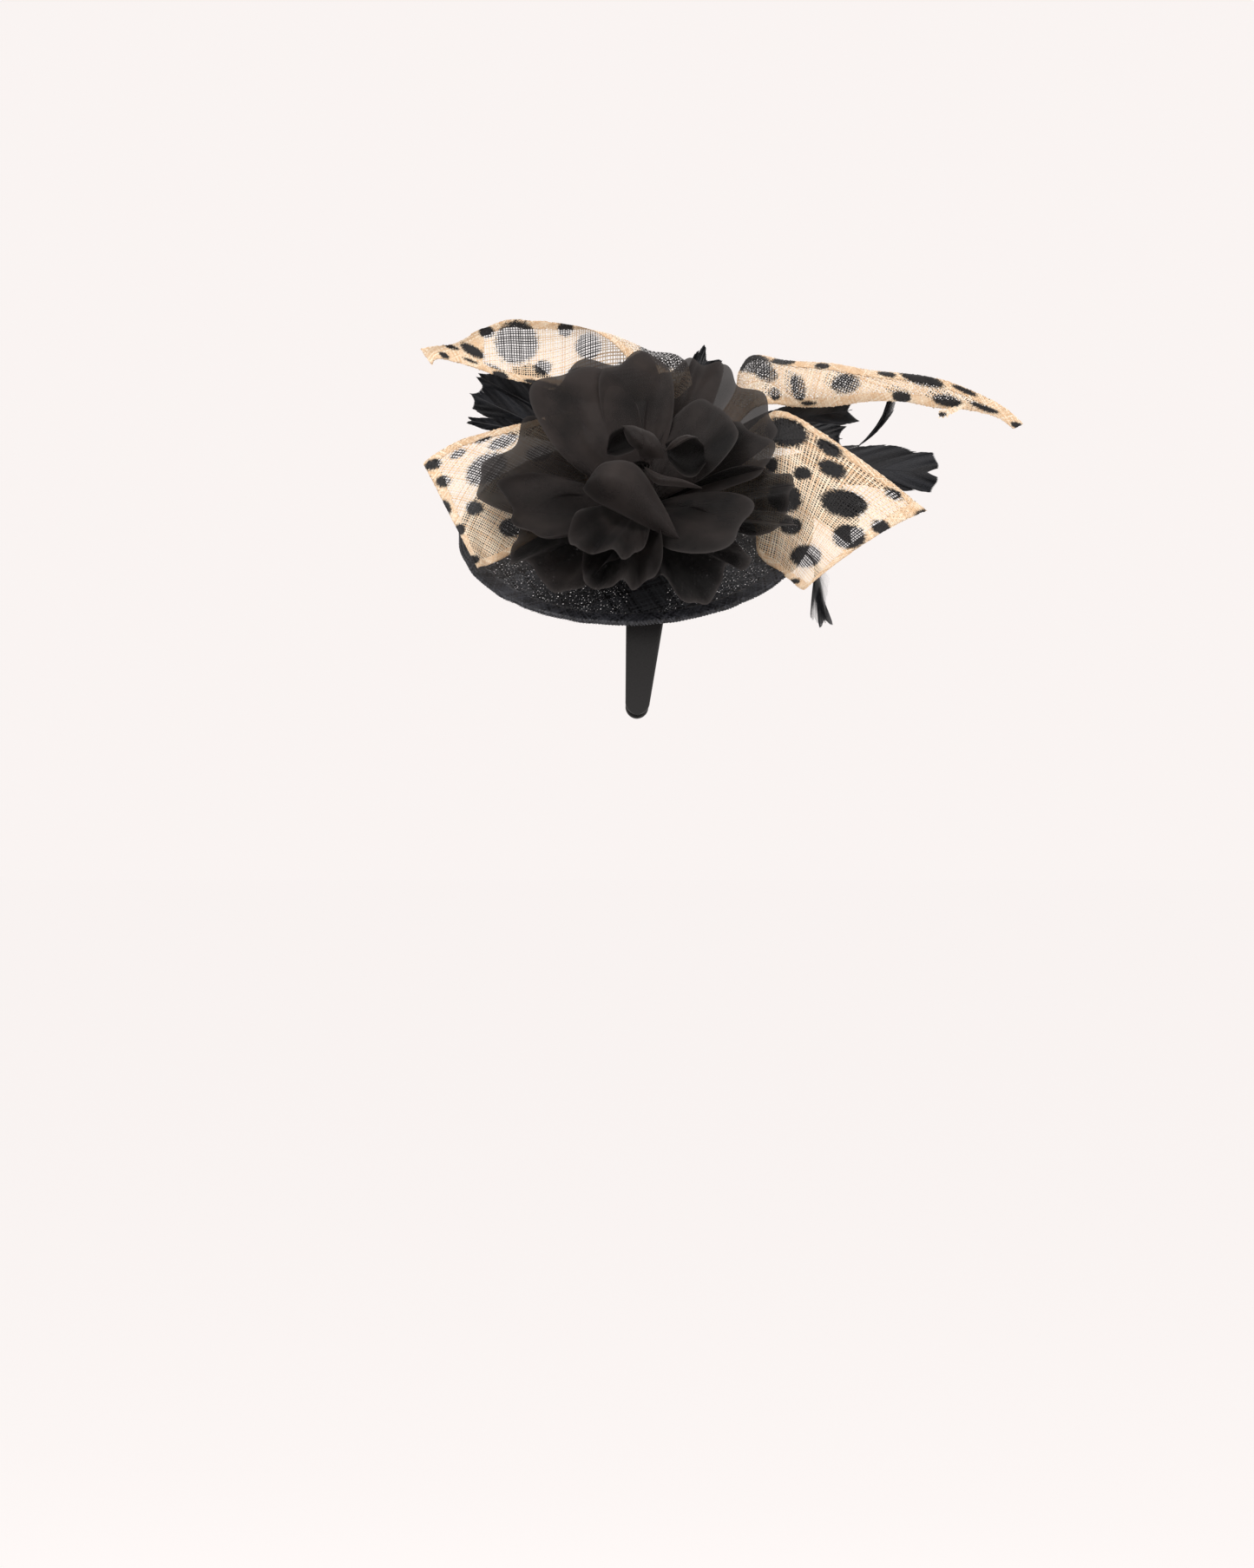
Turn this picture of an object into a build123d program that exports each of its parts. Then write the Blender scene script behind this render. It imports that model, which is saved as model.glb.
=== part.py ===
"""Fascinator on a headband: a round sinamay base worn tilted on the side of the head, a large
organza bloom, four hemmed sinamay leaves and a spray of trimmed goose feathers.

Frame, millimetres: origin at the inner face of the headband at its crown, +Z up, +X towards the
wearer's back, -Y towards the wearer's left, which is the side that carries the trimming.
"""
from build123d import *
from math import asin, cos, degrees, hypot, radians, sin, sqrt
import os

os.makedirs("parts", exist_ok=True)

# ---- headband ----
BAND_INNER_WIDTH = 146.0    # widest gap between the arms, inside the satin
BAND_INNER_HEIGHT = 112.0   # crown to the end of the rounded tips, inside
BAND_TIP_DRAW = 5.0         # each tip is drawn in by this much from the widest place
BAND_WIDTH = 21.5           # front to back over the satin, at the crown
BAND_TIP_WIDTH = 13.5       # front to back over the satin, at the tips
BAND_TAPER_FROM = 55.0      # the taper starts this far below the crown
BAND_CORE = 1.8             # spring plastic strip
SATIN = 0.4                 # satin ribbon with its backing glue
BAND_LEAN = 5.0             # degrees, the tips come forward
FLEX_LEFT = 52.0            # degrees from the crown round to the left arm's flex line
FLEX_RIGHT = 38.0           # degrees from the crown round to the right arm's flex line
FLEX_GAP = 0.8              # clear strip at each flex line

# ---- base ----
BASE_RADIUS = 99.5          # outside of the bound edge
BASE_TILT = 35.0            # degrees, near edge down
BASE_LEAN = -2.7            # degrees, back edge up
BASE_RIGHT = -10.0          # middle of the rim, towards the back
BASE_UP = -6.4              # middle of the rim, above the crown of the band
DOME_HEIGHT = 5.0
SINAMAY = 1.0               # two stiffened layers
BINDING_WIDTH = 9.0
BINDING = 0.7               # one folded bias strip
RIM_WIRE = 1.4              # millinery wire
FELT = 1.2
FELT_RADIUS = 30.0

# ---- bloom ----
BLOOM_TILT = 56.0           # degrees, faces the near side
BLOOM_ALONG = -11.4         # from the base centre, up the slope
BLOOM_ACROSS = 3.0          # from the base centre, towards the back
STEM_CLEAR = 8.0            # calyx above the base
STEM = 3.0
PETAL = 0.5
PETAL_STEP = 1.2            # from one petal of a layer to the next
OUTER_BOWL = 104.0
OUTER_REACH = 80.0
MIDDLE_BOWL = 60.0
MIDDLE_REACH = 52.0
INNER_BOWL = 32.0
INNER_REACH = 29.0
LAYER_GAP = 1.0
BUD_RADIUS = 9.0
BUD_HEIGHT = 24.0

# ---- leaves and feathers ----
LEAF = 0.8                  # folded hems, pressed
VANE = 0.5
SHAFT = 1.2
MOUNT_RADIUS = 15.0
MOUNT_ALONG = 47.0          # from the base centre, up the slope
TOUCH = 0.3                 # named clearance between pieces that lie beside each other

# the points of the leaves and feathers are drawn round a base of this radius, middle and slope
DRAWN_RADIUS = 99.5
DRAWN_MIDDLE = (-10.0, -34.65, -6.4)
DRAWN_TILT = 35.0
DRAWN_LEAN = -2.7


def plus(start, *moves):
    """A point moved along directions, given as pairs of distance and direction."""
    point = Vector(*start)
    for distance, direction in moves:
        point += direction * distance
    return point


def sag(radius, reach):
    """How far a sphere falls away from its pole at a distance from the axis."""
    return radius - sqrt(radius * radius - reach * reach)


def keep(piece, name):
    """Names a finished piece and writes it."""
    piece.part.label = name
    export_step(piece.part, f"parts/{name}.step")


# ---- headband: a tapered spring strip in a satin cover, bent to an arch ----
lean = radians(BAND_LEAN)
arch = Plane(origin=(0, 0, 0), x_dir=(0, 1, 0), z_dir=(cos(lean), 0, -sin(lean)))
side = Plane(origin=(0, 0, 0), x_dir=(cos(lean), 0, -sin(lean)), z_dir=(0, -1, 0))
crown_radius = BAND_INNER_WIDTH / 2
lower = BAND_INNER_HEIGHT - crown_radius
tail_radius = (lower * lower + BAND_TIP_DRAW * BAND_TIP_DRAW) / (2 * BAND_TIP_DRAW)


def arch_profile(inside, outside):
    """The arch between two distances outside its inner face: half a round and two drawn-in tails."""
    turn = asin(lower / tail_radius)
    hub = crown_radius - tail_radius
    ends = []
    with BuildSketch(arch) as profile:
        with BuildLine():
            for away in (inside, outside):
                crown = crown_radius + away
                tail = tail_radius + away
                middle = (hub + tail * cos(turn / 2), -crown_radius - tail * sin(turn / 2))
                end = (hub + tail * cos(turn), -crown_radius - tail * sin(turn))
                ThreePointArc((crown, -crown_radius), middle, end)
                ThreePointArc((-crown, -crown_radius), (-middle[0], middle[1]), (-end[0], end[1]))
                ThreePointArc((crown, -crown_radius), (0, away), (-crown, -crown_radius))
                ends.append(end)
            Line(ends[0], ends[1])
            Line((-ends[0][0], ends[0][1]), (-ends[1][0], ends[1][1]))
        make_face()
    return profile.sketch


def strip_outline(margin):
    """The strip seen from the side: a taper with round tips, inset by a margin."""
    top = BAND_WIDTH / 2 - margin
    tip = BAND_TIP_WIDTH / 2 - margin
    tip_centre = -BAND_INNER_HEIGHT + BAND_TIP_WIDTH / 2
    with BuildSketch(side) as outline:
        with BuildLine():
            Polyline((-tip, tip_centre), (-top, -BAND_TAPER_FROM), (-top, BAND_WIDTH),
                     (top, BAND_WIDTH), (top, -BAND_TAPER_FROM), (tip, tip_centre))
            ThreePointArc((tip, tip_centre), (0, tip_centre - tip), (-tip, tip_centre))
        make_face()
    return outline.sketch


def flex_wedge(start, stop):
    """A wedge of the arch, between two turns from the crown, in degrees towards +Y."""
    reach = 3 * BAND_INNER_WIDTH
    hub = (0, -crown_radius)
    turns = [radians(start + (stop - start) * step / 3) for step in range(4)]
    corners = [(reach * sin(turn), reach * cos(turn) - crown_radius) for turn in turns]
    with BuildSketch(arch) as wedge:
        with BuildLine():
            Polyline(hub, *corners, hub)
        make_face()
    return wedge.sketch


def strip(inset, start, stop):
    """A stretch of the band, inset from the satin's faces, between two turns from the crown."""
    with BuildPart() as piece:
        extrude(arch_profile(inset, BAND_CORE + 2 * SATIN - inset), amount=BAND_WIDTH, both=True)
        extrude(strip_outline(inset), amount=BAND_INNER_WIDTH, both=True, mode=Mode.INTERSECT)
        extrude(flex_wedge(start, stop), amount=BAND_WIDTH, both=True, mode=Mode.INTERSECT)
    return piece


half_gap = degrees(FLEX_GAP / 2 / (crown_radius + SATIN + BAND_CORE / 2))
sectors = {"crown": (-FLEX_LEFT + half_gap, FLEX_RIGHT - half_gap),
           "left_arm": (-179.0, -FLEX_LEFT - half_gap),
           "right_arm": (FLEX_RIGHT + half_gap, 179.0)}

for name, (start, stop) in sectors.items():
    core = strip(SATIN, start, stop)
    keep(core, f"headband_core_{name}")
    with BuildPart() as cover:
        add(strip(0, start, stop).part)
        add(core.part, mode=Mode.SUBTRACT)
    keep(cover, f"headband_cover_{name}")

# ---- base: a shallow dome of stiffened sinamay, its edge wired and bound ----
def slope(tilt, roll):
    """Directions across a tilted base, up its slope and out of it, for two turns in degrees."""
    tilt, roll = radians(tilt), radians(roll)
    across = Vector(cos(roll), 0, -sin(roll))
    out = Vector(cos(tilt) * sin(roll), -sin(tilt), cos(tilt) * cos(roll))
    return across, out.cross(across), out


across, along, out = slope(BASE_TILT, BASE_LEAN)
dome_radius = (BASE_RADIUS ** 2 + DOME_HEIGHT ** 2) / (2 * DOME_HEIGHT)

# the felt under the dome rests on the front edge of the band, where the arch comes nearest
band_across = arch.z_dir
band_hub = arch.from_local_coords((0, -crown_radius, 0))
band_top = band_hub.dot(out) + crown_radius + BAND_CORE + 2 * SATIN
band_edge = abs(band_across.dot(out)) * BAND_WIDTH / 2
rim_level = band_top + band_edge + TOUCH + FELT + SINAMAY - DOME_HEIGHT
base_y = (rim_level - out.X * BASE_RIGHT - out.Z * BASE_UP) / out.Y
base_centre = Vector(BASE_RIGHT, base_y, BASE_UP)
base_section = Plane(origin=base_centre, x_dir=across, z_dir=along * -1)
base_axis = Axis(base_centre, out)


def dome(reach):
    """Height of the base's upper face above the plane of its rim."""
    return DOME_HEIGHT - sag(dome_radius, reach)


def on_base(right, up, height=0.0):
    """A point above the base: towards the back, up the slope, and off its upper face."""
    return plus(base_centre, (right, across), (up, along), (dome(hypot(right, up)) + height, out))


def dome_layer(inner, outer, above, below):
    """Section of a layer that follows the dome, between two distances from its upper face."""
    middle = (inner + outer) / 2
    with BuildSketch(base_section) as layer:
        with BuildLine():
            ThreePointArc(*[(r, dome(r) + above) for r in (inner, middle, outer)])
            Line((outer, dome(outer) + above), (outer, dome(outer) - below))
            ThreePointArc(*[(r, dome(r) - below) for r in (outer, middle, inner)])
            Line((inner, dome(inner) - below), (inner, dome(inner) + above))
        make_face()
    return layer.sketch


wire_place = BASE_RADIUS - BINDING - RIM_WIRE / 2
saucer_edge = wire_place - RIM_WIRE / 2 - TOUCH
bloom_tilt = radians(BLOOM_TILT)
bloom_axis_way = Vector(0, -sin(bloom_tilt), cos(bloom_tilt))
bloom_up = Vector(0, cos(bloom_tilt), sin(bloom_tilt))
bloom_foot = on_base(BLOOM_ACROSS, BLOOM_ALONG, STEM_CLEAR)
bloom_axis = Axis(bloom_foot, bloom_axis_way)
stem_below = (STEM_CLEAR + SINAMAY) / cos(bloom_tilt - radians(BASE_TILT))
bloom_plane = Plane(origin=bloom_foot, x_dir=(1, 0, 0), z_dir=bloom_axis_way)
stem_plane = bloom_plane.offset(-stem_below)
bloom_section = Plane(origin=bloom_foot, x_dir=(1, 0, 0), z_dir=bloom_up * -1)

with BuildPart() as saucer:
    revolve(dome_layer(0, saucer_edge, 0, SINAMAY), axis=base_axis)
    with BuildSketch(stem_plane.offset(-STEM_CLEAR)):
        Circle(STEM / 2 + TOUCH)
    extrude(amount=2 * stem_below, mode=Mode.SUBTRACT)
keep(saucer, "base_saucer")

with BuildPart() as rim_wire:
    with BuildSketch(base_section):
        with Locations((wire_place, dome(wire_place) - SINAMAY / 2)):
            Circle(RIM_WIRE / 2)
    revolve(axis=base_axis)
keep(rim_wire, "base_rim_wire")

with BuildPart() as binding:
    fold = dome_layer(BASE_RADIUS - BINDING_WIDTH, BASE_RADIUS, BINDING, SINAMAY + BINDING)
    revolve(fold, axis=base_axis)
    add(saucer.part, mode=Mode.SUBTRACT)
    add(rim_wire.part, mode=Mode.SUBTRACT)
keep(binding, "base_edge_binding")

with BuildPart() as felt:
    revolve(dome_layer(0, FELT_RADIUS, -SINAMAY, SINAMAY + FELT), axis=base_axis)
    with BuildSketch(stem_plane.offset(-STEM_CLEAR)):
        Circle(STEM / 2 + TOUCH)
    extrude(amount=2 * stem_below, mode=Mode.SUBTRACT)
keep(felt, "underside_felt")

# ---- stitches: short thread bars beside the crown of the band, up to the felt ----
STITCHES = 5
STITCH_SPREAD = 22.0        # degrees from the middle of the row to its ends
STITCH_MIDDLE = -35.0       # degrees from the crown, towards the left arm
STITCH = 0.8
with BuildPart() as stitches:
    for edge in (-1, 1):
        for count in range(STITCHES):
            turn = radians(STITCH_MIDDLE + STITCH_SPREAD * (2 * count / (STITCHES - 1) - 1) / 2)
            reach = crown_radius + SATIN
            offset = edge * (BAND_WIDTH / 2 + STITCH / 2 + TOUCH)
            foot = arch.from_local_coords((reach * sin(turn), reach * cos(turn) - crown_radius, offset))
            drop = (foot - base_centre).dot(out)
            flat = foot - base_centre - out * drop
            rise = dome(flat.length) - SINAMAY - FELT - drop
            with BuildSketch(Plane(origin=foot, z_dir=out)):
                Circle(STITCH / 2)
            extrude(amount=rise)
keep(stitches, "headband_stitches")

# ---- bloom: wire stem, calyx, three layers of petals and a rolled bud ----
outer_count = 7
middle_count = 5
inner_count = 4
outer_stack = outer_count * PETAL_STEP
middle_foot = outer_stack + LAYER_GAP
middle_stack = middle_count * PETAL_STEP
inner_foot = middle_foot + middle_stack + LAYER_GAP
inner_stack = inner_count * PETAL_STEP
bud_foot = inner_foot + inner_stack + LAYER_GAP


def bowl_layer(inner, outer, foot, bowl, thick):
    """Section of a bowl round the bloom's axis: a sphere with its pole at the foot."""
    middle = (inner + outer) / 2
    deep = bowl - thick
    with BuildSketch(bloom_section) as layer:
        with BuildLine():
            ThreePointArc(*[(r, foot + sag(bowl, r)) for r in (inner, middle, outer)])
            Line((outer, foot + sag(bowl, outer)), (outer, foot + thick + sag(deep, outer)))
            ThreePointArc(*[(r, foot + thick + sag(deep, r)) for r in (outer, middle, inner)])
            Line((inner, foot + thick + sag(deep, inner)), (inner, foot + sag(bowl, inner)))
        make_face()
    return layer.sketch


with BuildPart() as stem:
    with BuildSketch(stem_plane):
        Circle(STEM / 2)
    extrude(amount=stem_below + bud_foot + BUD_HEIGHT / 2)
keep(stem, "bloom_stem_wire")

CALYX_RADIUS = 13.0
CALYX_DEPTH = 5.0
with BuildPart() as calyx:
    with BuildSketch(bloom_section):
        with BuildLine():
            top = [(r, sag(OUTER_BOWL, r) - TOUCH) for r in (STEM / 2, CALYX_RADIUS / 2, CALYX_RADIUS)]
            ThreePointArc(*top)
            Polyline(top[2], (STEM, -CALYX_DEPTH), (STEM / 2, -CALYX_DEPTH), top[0])
        make_face()
    revolve(axis=bloom_axis)
keep(calyx, "bloom_calyx")


def petal(name, turn, foot, bowl, reach, half_width):
    """One petal: a piece of a bowl, cut to a round blade with a narrow claw at the stem."""
    claw = STEM / 2 + TOUCH
    blade = reach * 0.45
    with BuildSketch(bloom_plane.offset(foot - PETAL)) as outline:
        with Locations((reach - blade, 0)):
            Ellipse(blade, half_width)
        with Locations(((claw + reach - blade) / 2, 0)):
            Rectangle(reach - blade - claw, half_width / 3)
    half_bowl = bowl_layer(claw, reach, foot, bowl, PETAL)
    with BuildPart() as blade_piece:
        revolve(half_bowl.rotate(bloom_axis, turn - 90), axis=bloom_axis, revolution_arc=180)
        extrude(outline.sketch.rotate(bloom_axis, turn), amount=reach, mode=Mode.INTERSECT)
    keep(blade_piece, name)


for count in range(outer_count):
    rise = count * PETAL_STEP
    turn = 100 + 360 * (3 * count % outer_count) / outer_count
    petal(f"outer_petal_{count + 1}", turn, rise, OUTER_BOWL - rise, OUTER_REACH, 33.0)

for count in range(middle_count):
    rise = count * PETAL_STEP
    turn = 60 + 360 * (2 * count % middle_count) / middle_count
    petal(f"middle_petal_{count + 1}", turn, middle_foot + rise, MIDDLE_BOWL - rise,
          MIDDLE_REACH - rise, 26.0)

for count in range(inner_count):
    rise = count * PETAL_STEP
    turn = 20 + 360 * (count * 3 % inner_count) / inner_count
    petal(f"inner_petal_{count + 1}", turn, inner_foot + rise, INNER_BOWL - rise,
          INNER_REACH - rise, 15.0)

with BuildPart() as bud:
    with BuildSketch(bloom_section):
        with BuildLine():
            Spline((STEM / 2, bud_foot), (BUD_RADIUS, bud_foot + BUD_HEIGHT * 0.45),
                   (STEM / 2, bud_foot + BUD_HEIGHT))
            Line((STEM / 2, bud_foot + BUD_HEIGHT), (0, bud_foot + BUD_HEIGHT))
            Line((0, bud_foot + BUD_HEIGHT), (0, bud_foot + BUD_HEIGHT / 2))
            Line((0, bud_foot + BUD_HEIGHT / 2), (STEM / 2, bud_foot + BUD_HEIGHT / 2))
            Line((STEM / 2, bud_foot + BUD_HEIGHT / 2), (STEM / 2, bud_foot))
        make_face()
    revolve(axis=bloom_axis)
keep(bud, "bloom_bud")

# ---- leaves: hemmed sinamay tails, each gathered to a pleated foot that is sewn to the base ----
# Each leaf is a row of pairs of points, one on its upper edge and one on its lower edge. The first
# pair is on the base, and the others are drawn points.
rim_growth = BASE_RADIUS / DRAWN_RADIUS


def with_base(point):
    """A drawn point, moved with the base and outwards with its rim."""
    away = Vector(*point) - Vector(*DRAWN_MIDDLE)
    right, up, off = [away.dot(way) for way in slope(DRAWN_TILT, DRAWN_LEAN)]
    return plus(base_centre, (right * rim_growth, across), (up * rim_growth, along), (off, out))


leaves = {
    "leaf_upper_left": [
        (on_base(-9, 10, 2), on_base(-9, 22, 2)),
        ((-13, -22, 50), (-7, -1, 50)),
        ((-12, -18, 84), (-16, 3, 74)),
        ((-27, -14, 99), (-42, 0, 72)),
        ((-52, -2, 110), (-66, -6, 75)),
        ((-86, 3, 111), (-98, -3, 82)),
        ((-113, 2, 100), (-113, 0, 90)),
        ((-133, 0, 98), (-122, 0, 88))],
    "leaf_upper_right": [
        (on_base(9, 22, 2), on_base(9, 10, 2)),
        ((24, 4, 57), (40, -12, 50)),
        ((50, 6, 88), (62, -6, 68)),
        ((74, 6, 92), (82, -9, 65)),
        ((113, 2, 88), (113, -6, 65)),
        ((145, 0, 84), (148, -3, 67)),
        ((180, 0, 76), (180, 0, 64)),
        ((206, 0, 60), (211, 0, 54))],
    "leaf_lower_right": [
        (on_base(24, 8, 2), on_base(24, -6, 2)),
        ((50, -34, 40), (54, -52, 4)),
        ((69, -35, 59), (58, -72, -22)),
        ((95, -40, 46), (76, -87, -36)),
        ((124, -46, 22), (84, -88, -44)),
        ((152, -52, 1), (96, -82, -38))],
    "leaf_lower_left": [
        (on_base(-20, -6, 2), on_base(-20, 8, 2)),
        ((-46, -38, 24), (-38, -26, 40)),
        ((-72, -72, -15), (-62, -31, 53)),
        ((-90, -83, -26), (-96, -40, 48)),
        ((-98, -84, -32), (-130, -46, 30))]}

for name, rows in leaves.items():
    rows = rows[:1] + [(with_base(upper), with_base(lower_edge)) for upper, lower_edge in rows[1:]]
    middles = [(upper + lower_edge) * 0.5 for upper, lower_edge in rows]
    with BuildPart() as leaf:
        for place, (upper, lower_edge) in enumerate(rows):
            before = middles[max(place - 1, 0)]
            after = middles[min(place + 1, len(rows) - 1)]
            width = lower_edge - upper
            face = (after - before).cross(width)
            with BuildSketch(Plane(origin=middles[place], x_dir=width, z_dir=width.cross(face))):
                Rectangle(width.length, LEAF)
        loft(ruled=True)
    keep(leaf, name)

# ---- feathers: goose quills trimmed square, their feet glued to a felt disc on the base ----
mount_middle = on_base(0, MOUNT_ALONG, 0)
with BuildPart() as mount:
    with BuildSketch(Plane(origin=mount_middle, x_dir=across, z_dir=out)):
        Circle(MOUNT_RADIUS)
    extrude(amount=FELT)
    revolve(dome_layer(0, BASE_RADIUS, 0, 3 * FELT), axis=base_axis, mode=Mode.SUBTRACT)
keep(mount, "feather_mount_felt")

# foot on the mount (across, up), tip, share of the length that is bare quill, width, tip width
feathers = {
    "feather_left_front": ((-9, 44), (-104, 6, 76), 0.42, 17.0, 7.0),
    "feather_left_middle": ((-9, 48), (-96, 11, 82), 0.42, 20.0, 8.0),
    "feather_left_back": ((-9, 52), (-76, 16, 84), 0.42, 18.0, 6.0),
    "feather_left_blade": ((-9, 40), (-104, 1, 58), 0.55, 7.0, 1.0),
    "feather_top": ((-3, 56), (33, 15, 89), 0.35, 19.0, 9.0),
    "feather_right_upper": ((8, 50), (114, 10, 66), 0.4, 17.0, 6.0),
    "feather_right_middle": ((8, 46), (107, 5, 51), 0.4, 16.0, 6.0),
    "feather_right_fan_upper": ((8, 36), (114, -36, 12), 0.6, 16.0, 8.0),
    "feather_right_fan_lower": ((9, 41), (157, -5, 26), 0.6, 20.0, 8.0)}
QUILL_RISE = 3.0            # centre of a quill above the base, at its foot


def feather(name, foot, tip, bare, width, tip_width, root=None):
    """A feather: a flat vane cut square at the tip, on a quill that runs back to its foot.

    A feather that bends over the edge of something has its root further in.
    """
    way = tip - foot
    length = way.length
    face = way.cross(Vector(0, 0, 1).cross(way))
    lie = Plane(origin=foot, x_dir=way, z_dir=way.cross(face))
    start = bare * length
    middle = (start + length) / 2
    with BuildPart() as blade:
        with BuildSketch(lie):
            with BuildLine():
                ThreePointArc((start, 0), (middle, width / 2), (length, tip_width / 2))
                Line((length, tip_width / 2), (length, -tip_width / 2))
                ThreePointArc((length, -tip_width / 2), (middle, -width / 2), (start, 0))
            make_face()
        extrude(amount=VANE / 2, both=True)
        with BuildSketch(Plane(origin=foot, z_dir=way)):
            Circle(SHAFT / 2)
        extrude(amount=length * 0.9)
        if root:
            with BuildSketch(Plane(origin=root, z_dir=foot - root)):
                Circle(SHAFT / 2)
            extrude(amount=(foot - root).length + SHAFT / 2)
    keep(blade, name)


for name, (foot, tip, bare, width, tip_width) in feathers.items():
    feather(name, on_base(*foot, QUILL_RISE), with_base(tip), bare, width, tip_width)

# one hangs over the bound edge, below the lower right leaf
feather("feather_lower_right", on_base(98 * rim_growth, -46 * rim_growth, QUILL_RISE),
        with_base((97, -73, -55)), 0.1, 14.0, 8.0, root=on_base(56, -14, QUILL_RISE))

# one is stripped to a narrow strap that curls upwards
STRAP_WIDTH = 3.0
strap_foot = on_base(10, 54, QUILL_RISE)
strap_turn = with_base((112, 14, 38))
strap_side = Plane(origin=strap_turn, x_dir=(1, 0, 0), z_dir=(0, -1, 0))
STRAP_BEND = (16.0, 14.0)
STRAP_TIP = (22.0, 30.0)
with BuildPart() as strap:
    with BuildSketch(Plane(origin=strap_foot, z_dir=strap_turn - strap_foot)):
        Circle(SHAFT / 2)
    extrude(amount=(strap_turn - strap_foot).length)
    with BuildSketch(strap_side):
        with BuildLine():
            ThreePointArc((0, 0), STRAP_BEND, STRAP_TIP)
            Line(STRAP_TIP, (STRAP_TIP[0] + STRAP_WIDTH, STRAP_TIP[1]))
            ThreePointArc((STRAP_TIP[0] + STRAP_WIDTH, STRAP_TIP[1]),
                          (STRAP_BEND[0] + STRAP_WIDTH * 0.7, STRAP_BEND[1] - STRAP_WIDTH * 0.7),
                          (0, -STRAP_WIDTH / 2))
            Line((0, -STRAP_WIDTH / 2), (0, 0))
        make_face()
    extrude(amount=SHAFT / 2, both=True)
keep(strap, "feather_right_curl")
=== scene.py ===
"""The looks of a fascinator on a satin headband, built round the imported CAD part.

Every shape is worked out in millimetres and put into its mesh in metres, in the frame of the part:
origin inside the band at its crown, +Z up, +X to the back of the head, -Y to the trimmed side.
"""

import bpy
import numpy as np
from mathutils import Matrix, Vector


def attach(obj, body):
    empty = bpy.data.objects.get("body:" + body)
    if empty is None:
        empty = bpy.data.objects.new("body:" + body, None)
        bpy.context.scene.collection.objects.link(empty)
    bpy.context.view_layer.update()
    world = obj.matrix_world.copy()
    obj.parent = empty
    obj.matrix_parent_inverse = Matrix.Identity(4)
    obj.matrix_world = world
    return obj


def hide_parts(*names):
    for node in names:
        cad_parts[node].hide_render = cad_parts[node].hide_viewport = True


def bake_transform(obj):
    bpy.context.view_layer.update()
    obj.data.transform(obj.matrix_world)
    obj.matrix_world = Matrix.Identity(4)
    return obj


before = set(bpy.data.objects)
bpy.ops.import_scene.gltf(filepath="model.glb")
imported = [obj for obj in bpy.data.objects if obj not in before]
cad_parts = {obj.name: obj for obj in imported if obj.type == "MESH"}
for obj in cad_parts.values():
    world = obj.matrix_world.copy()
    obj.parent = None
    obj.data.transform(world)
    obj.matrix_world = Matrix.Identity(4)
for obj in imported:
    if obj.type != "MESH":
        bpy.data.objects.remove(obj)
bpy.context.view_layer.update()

# ---- studio: pale floor, soft daylight and a long lens level with the jaw ----
# The fascinator is worn on a head, so it is held up in the air and the floor is far below it.
# Metres are used here, and the lens and its sensor are in millimetres.
CAMERA_PLACE = (-0.015, -2.2, -0.150)
LENS_MM = 88.72
SENSOR_MM = 36.0
FLOOR_LEVEL = -1.2
FLOOR_HALF = 40.0

camera_data = bpy.data.cameras.new("camera")
camera_data.sensor_fit = "VERTICAL"
camera_data.sensor_height = SENSOR_MM
camera_data.lens = LENS_MM
camera_data.clip_end = 5 * FLOOR_HALF
camera = bpy.data.objects.new("camera", camera_data)
camera.location = CAMERA_PLACE
camera.rotation_euler = (np.pi / 2, 0, 0)
bpy.context.collection.objects.link(camera)
bpy.context.scene.camera = camera
bpy.context.scene.view_settings.view_transform = "Standard"

world = bpy.data.worlds.new("studio")
world.use_nodes = True
sky = world.node_tree.nodes["Background"]
sky.inputs["Color"].default_value = (0.955, 0.905, 0.89, 1)
sky.inputs["Strength"].default_value = 1.0
bpy.context.scene.world = world

floor_data = bpy.data.meshes.new("studio_floor")
floor_data.from_pydata([(x * FLOOR_HALF, y * FLOOR_HALF, FLOOR_LEVEL)
                        for x, y in ((-1, -1), (1, -1), (1, 1), (-1, 1))], [], [(0, 1, 2, 3)])
floor = bpy.data.objects.new("studio_floor", floor_data)
bpy.context.collection.objects.link(floor)
floor_paint = bpy.data.materials.new("studio_floor")
floor_paint.use_nodes = True
floor_shader = floor_paint.node_tree.nodes["Principled BSDF"]
floor_shader.inputs["Base Color"].default_value = (0.99, 0.99, 0.99, 1)
floor_shader.inputs["Roughness"].default_value = 1.0
floor_shader.inputs["Specular IOR Level"].default_value = 0.0
floor_data.materials.append(floor_paint)


def soft_light(name, place, size, power, colour):
    """A square area light of a size in metres, turned to face the trimming."""
    data = bpy.data.lights.new(name, "AREA")
    data.size = size
    data.energy = power
    data.color = colour
    lamp = bpy.data.objects.new(name, data)
    lamp.location = place
    aim = Vector((0.0, -0.05, 0.0)) - Vector(place)
    lamp.rotation_euler = aim.to_track_quat("-Z", "Y").to_euler()
    bpy.context.collection.objects.link(lamp)


soft_light("key_light", (-0.9, -1.5, 1.5), 0.9, 22.0, (1.0, 0.98, 0.96))
soft_light("fill_light", (1.5, -1.3, 0.6), 1.2, 7.0, (1.0, 0.97, 0.95))
soft_light("rim_light", (0.5, 1.4, 1.2), 0.8, 8.0, (1.0, 0.98, 0.97))

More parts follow.
